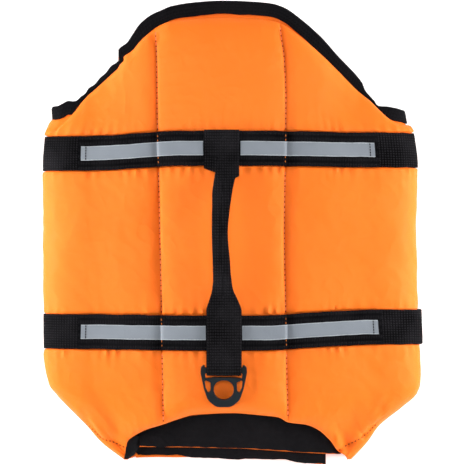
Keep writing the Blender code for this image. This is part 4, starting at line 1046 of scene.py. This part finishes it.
bm = bmesh.new()
for corners in (RING_OUTLINE, BAR_SLOT, ROUND_HOLE, SIDE_WINDOW, OTHER_WINDOW):
    loop = [bm.verts.new((x * MM, v * MM, -RING_DEPTH / 2 * MM)) for x, v in rounded(corners)]
    for a, b in zip(loop, loop[1:] + loop[:1]):
        bm.edges.new((a, b))
bmesh.ops.triangle_fill(bm, use_beauty=True, edges=bm.edges[:])
thickened(bm, bm.faces[:], RING_DEPTH * MM)
bmesh.ops.recalc_face_normals(bm, faces=bm.faces[:])
steep = math.radians(60)
rims = [edge for edge in bm.edges if len(edge.link_faces) == 2 and edge.calc_face_angle() > steep]
bmesh.ops.bevel(bm, geom=rims, offset=RING_EDGE * MM, segments=3, profile=0.5, affect="EDGES",
                material=-1, clamp_overlap=True)
turn = Matrix.Rotation(math.pi + math.radians(RING_TILT), 4, "X")
turn.translation = Vector((RING_X, RING_BAR_Y, RING_BAR_Z)) * MM
bmesh.ops.transform(bm, matrix=turn, verts=bm.verts[:])
mesh = as_mesh(bm, "moulded_lead_ring")
put("moulded_lead_ring", mesh, dark_plastic, ["lead_ring"], body="ring")

# ==== Belly webbing ====
# The straps run on flat under the belly and loop round the end bars of two side-release buckles.

# Its first colour is the painted shade in the furrows, the second the tops of the ribs.
belly_webbing = ribbed("belly_webbing", 0.0017, 0.0018, (0.0004, 0.0004, 0.0005), (0.0122, 0.0114, 0.0133),
                       0.7, laid_out=False)
for strap in STRAPS:
    for side in TAPES:
        node, name = f"belly_webbing_{strap}_{side}", f"{strap}_{side}_belly_webbing"
        piece = put(name, softened(node, 5.0, name), belly_webbing, [node], rim=0.25)
        low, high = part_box(node)

# ==== Studio ====
# A pale floor under broad soft lamps, seen straight from above with a long lens.

bm = bmesh.new()
bmesh.ops.create_grid(bm, x_segments=1, y_segments=1, size=4.0)
mesh = as_mesh(bm, "studio_floor")
mesh.transform(Matrix.Translation((0, 0, -0.0001)))
paper, _, shader, _ = material("studio_paper", 0.9)
shader.inputs["Base Color"].default_value = (0.92, 0.92, 0.92, 1)
shader.inputs["Emission Color"].default_value = (1.0, 1.0, 1.0, 1)
shader.inputs["Emission Strength"].default_value = 0.35
mesh.materials.append(paper)
floor = in_scene("studio_floor", mesh)

world = bpy.data.worlds.new("studio_air")
world.use_nodes = True
world.node_tree.nodes["Background"].inputs["Color"].default_value = (1.0, 1.0, 1.0, 1)
world.node_tree.nodes["Background"].inputs["Strength"].default_value = 0.12
bpy.context.scene.world = world


def soft_lamp(name, place, width, height, power):
    lamp = bpy.data.lights.new(name, "AREA")
    lamp.shape = "RECTANGLE"
    lamp.size, lamp.size_y = width, height
    lamp.energy = power
    lit = in_scene(name, lamp)
    lit.location = place
    lit.rotation_euler = Vector(place).to_track_quat("Z", "Y").to_euler()


soft_lamp("window_left", (-0.8, 0.04, 0.25), 0.9, 0.36, 14.5)
soft_lamp("window_right", (0.8, 0.02, 0.25), 0.9, 0.36, 13.0)
soft_lamp("window_tail", (0.0, -0.9, 0.3), 0.8, 0.3, 3.0)
soft_lamp("overhead", (0.0, 0.4, 1.9), 0.7, 0.7, 13.5)

SENSOR_WIDTH = 36.0
# metres, and the width seen at the height of the cloth
CAMERA_HEIGHT, CLOTH_HEIGHT, VIEW_WIDTH = 2.5, 0.02, 0.34104
lens = bpy.data.cameras.new("camera")
lens.sensor_width = SENSOR_WIDTH
lens.lens = SENSOR_WIDTH * (CAMERA_HEIGHT - CLOTH_HEIGHT) / VIEW_WIDTH
camera = in_scene("camera", lens)
camera.location = (0.0002, 0.0002, CAMERA_HEIGHT)
bpy.context.scene.camera = camera
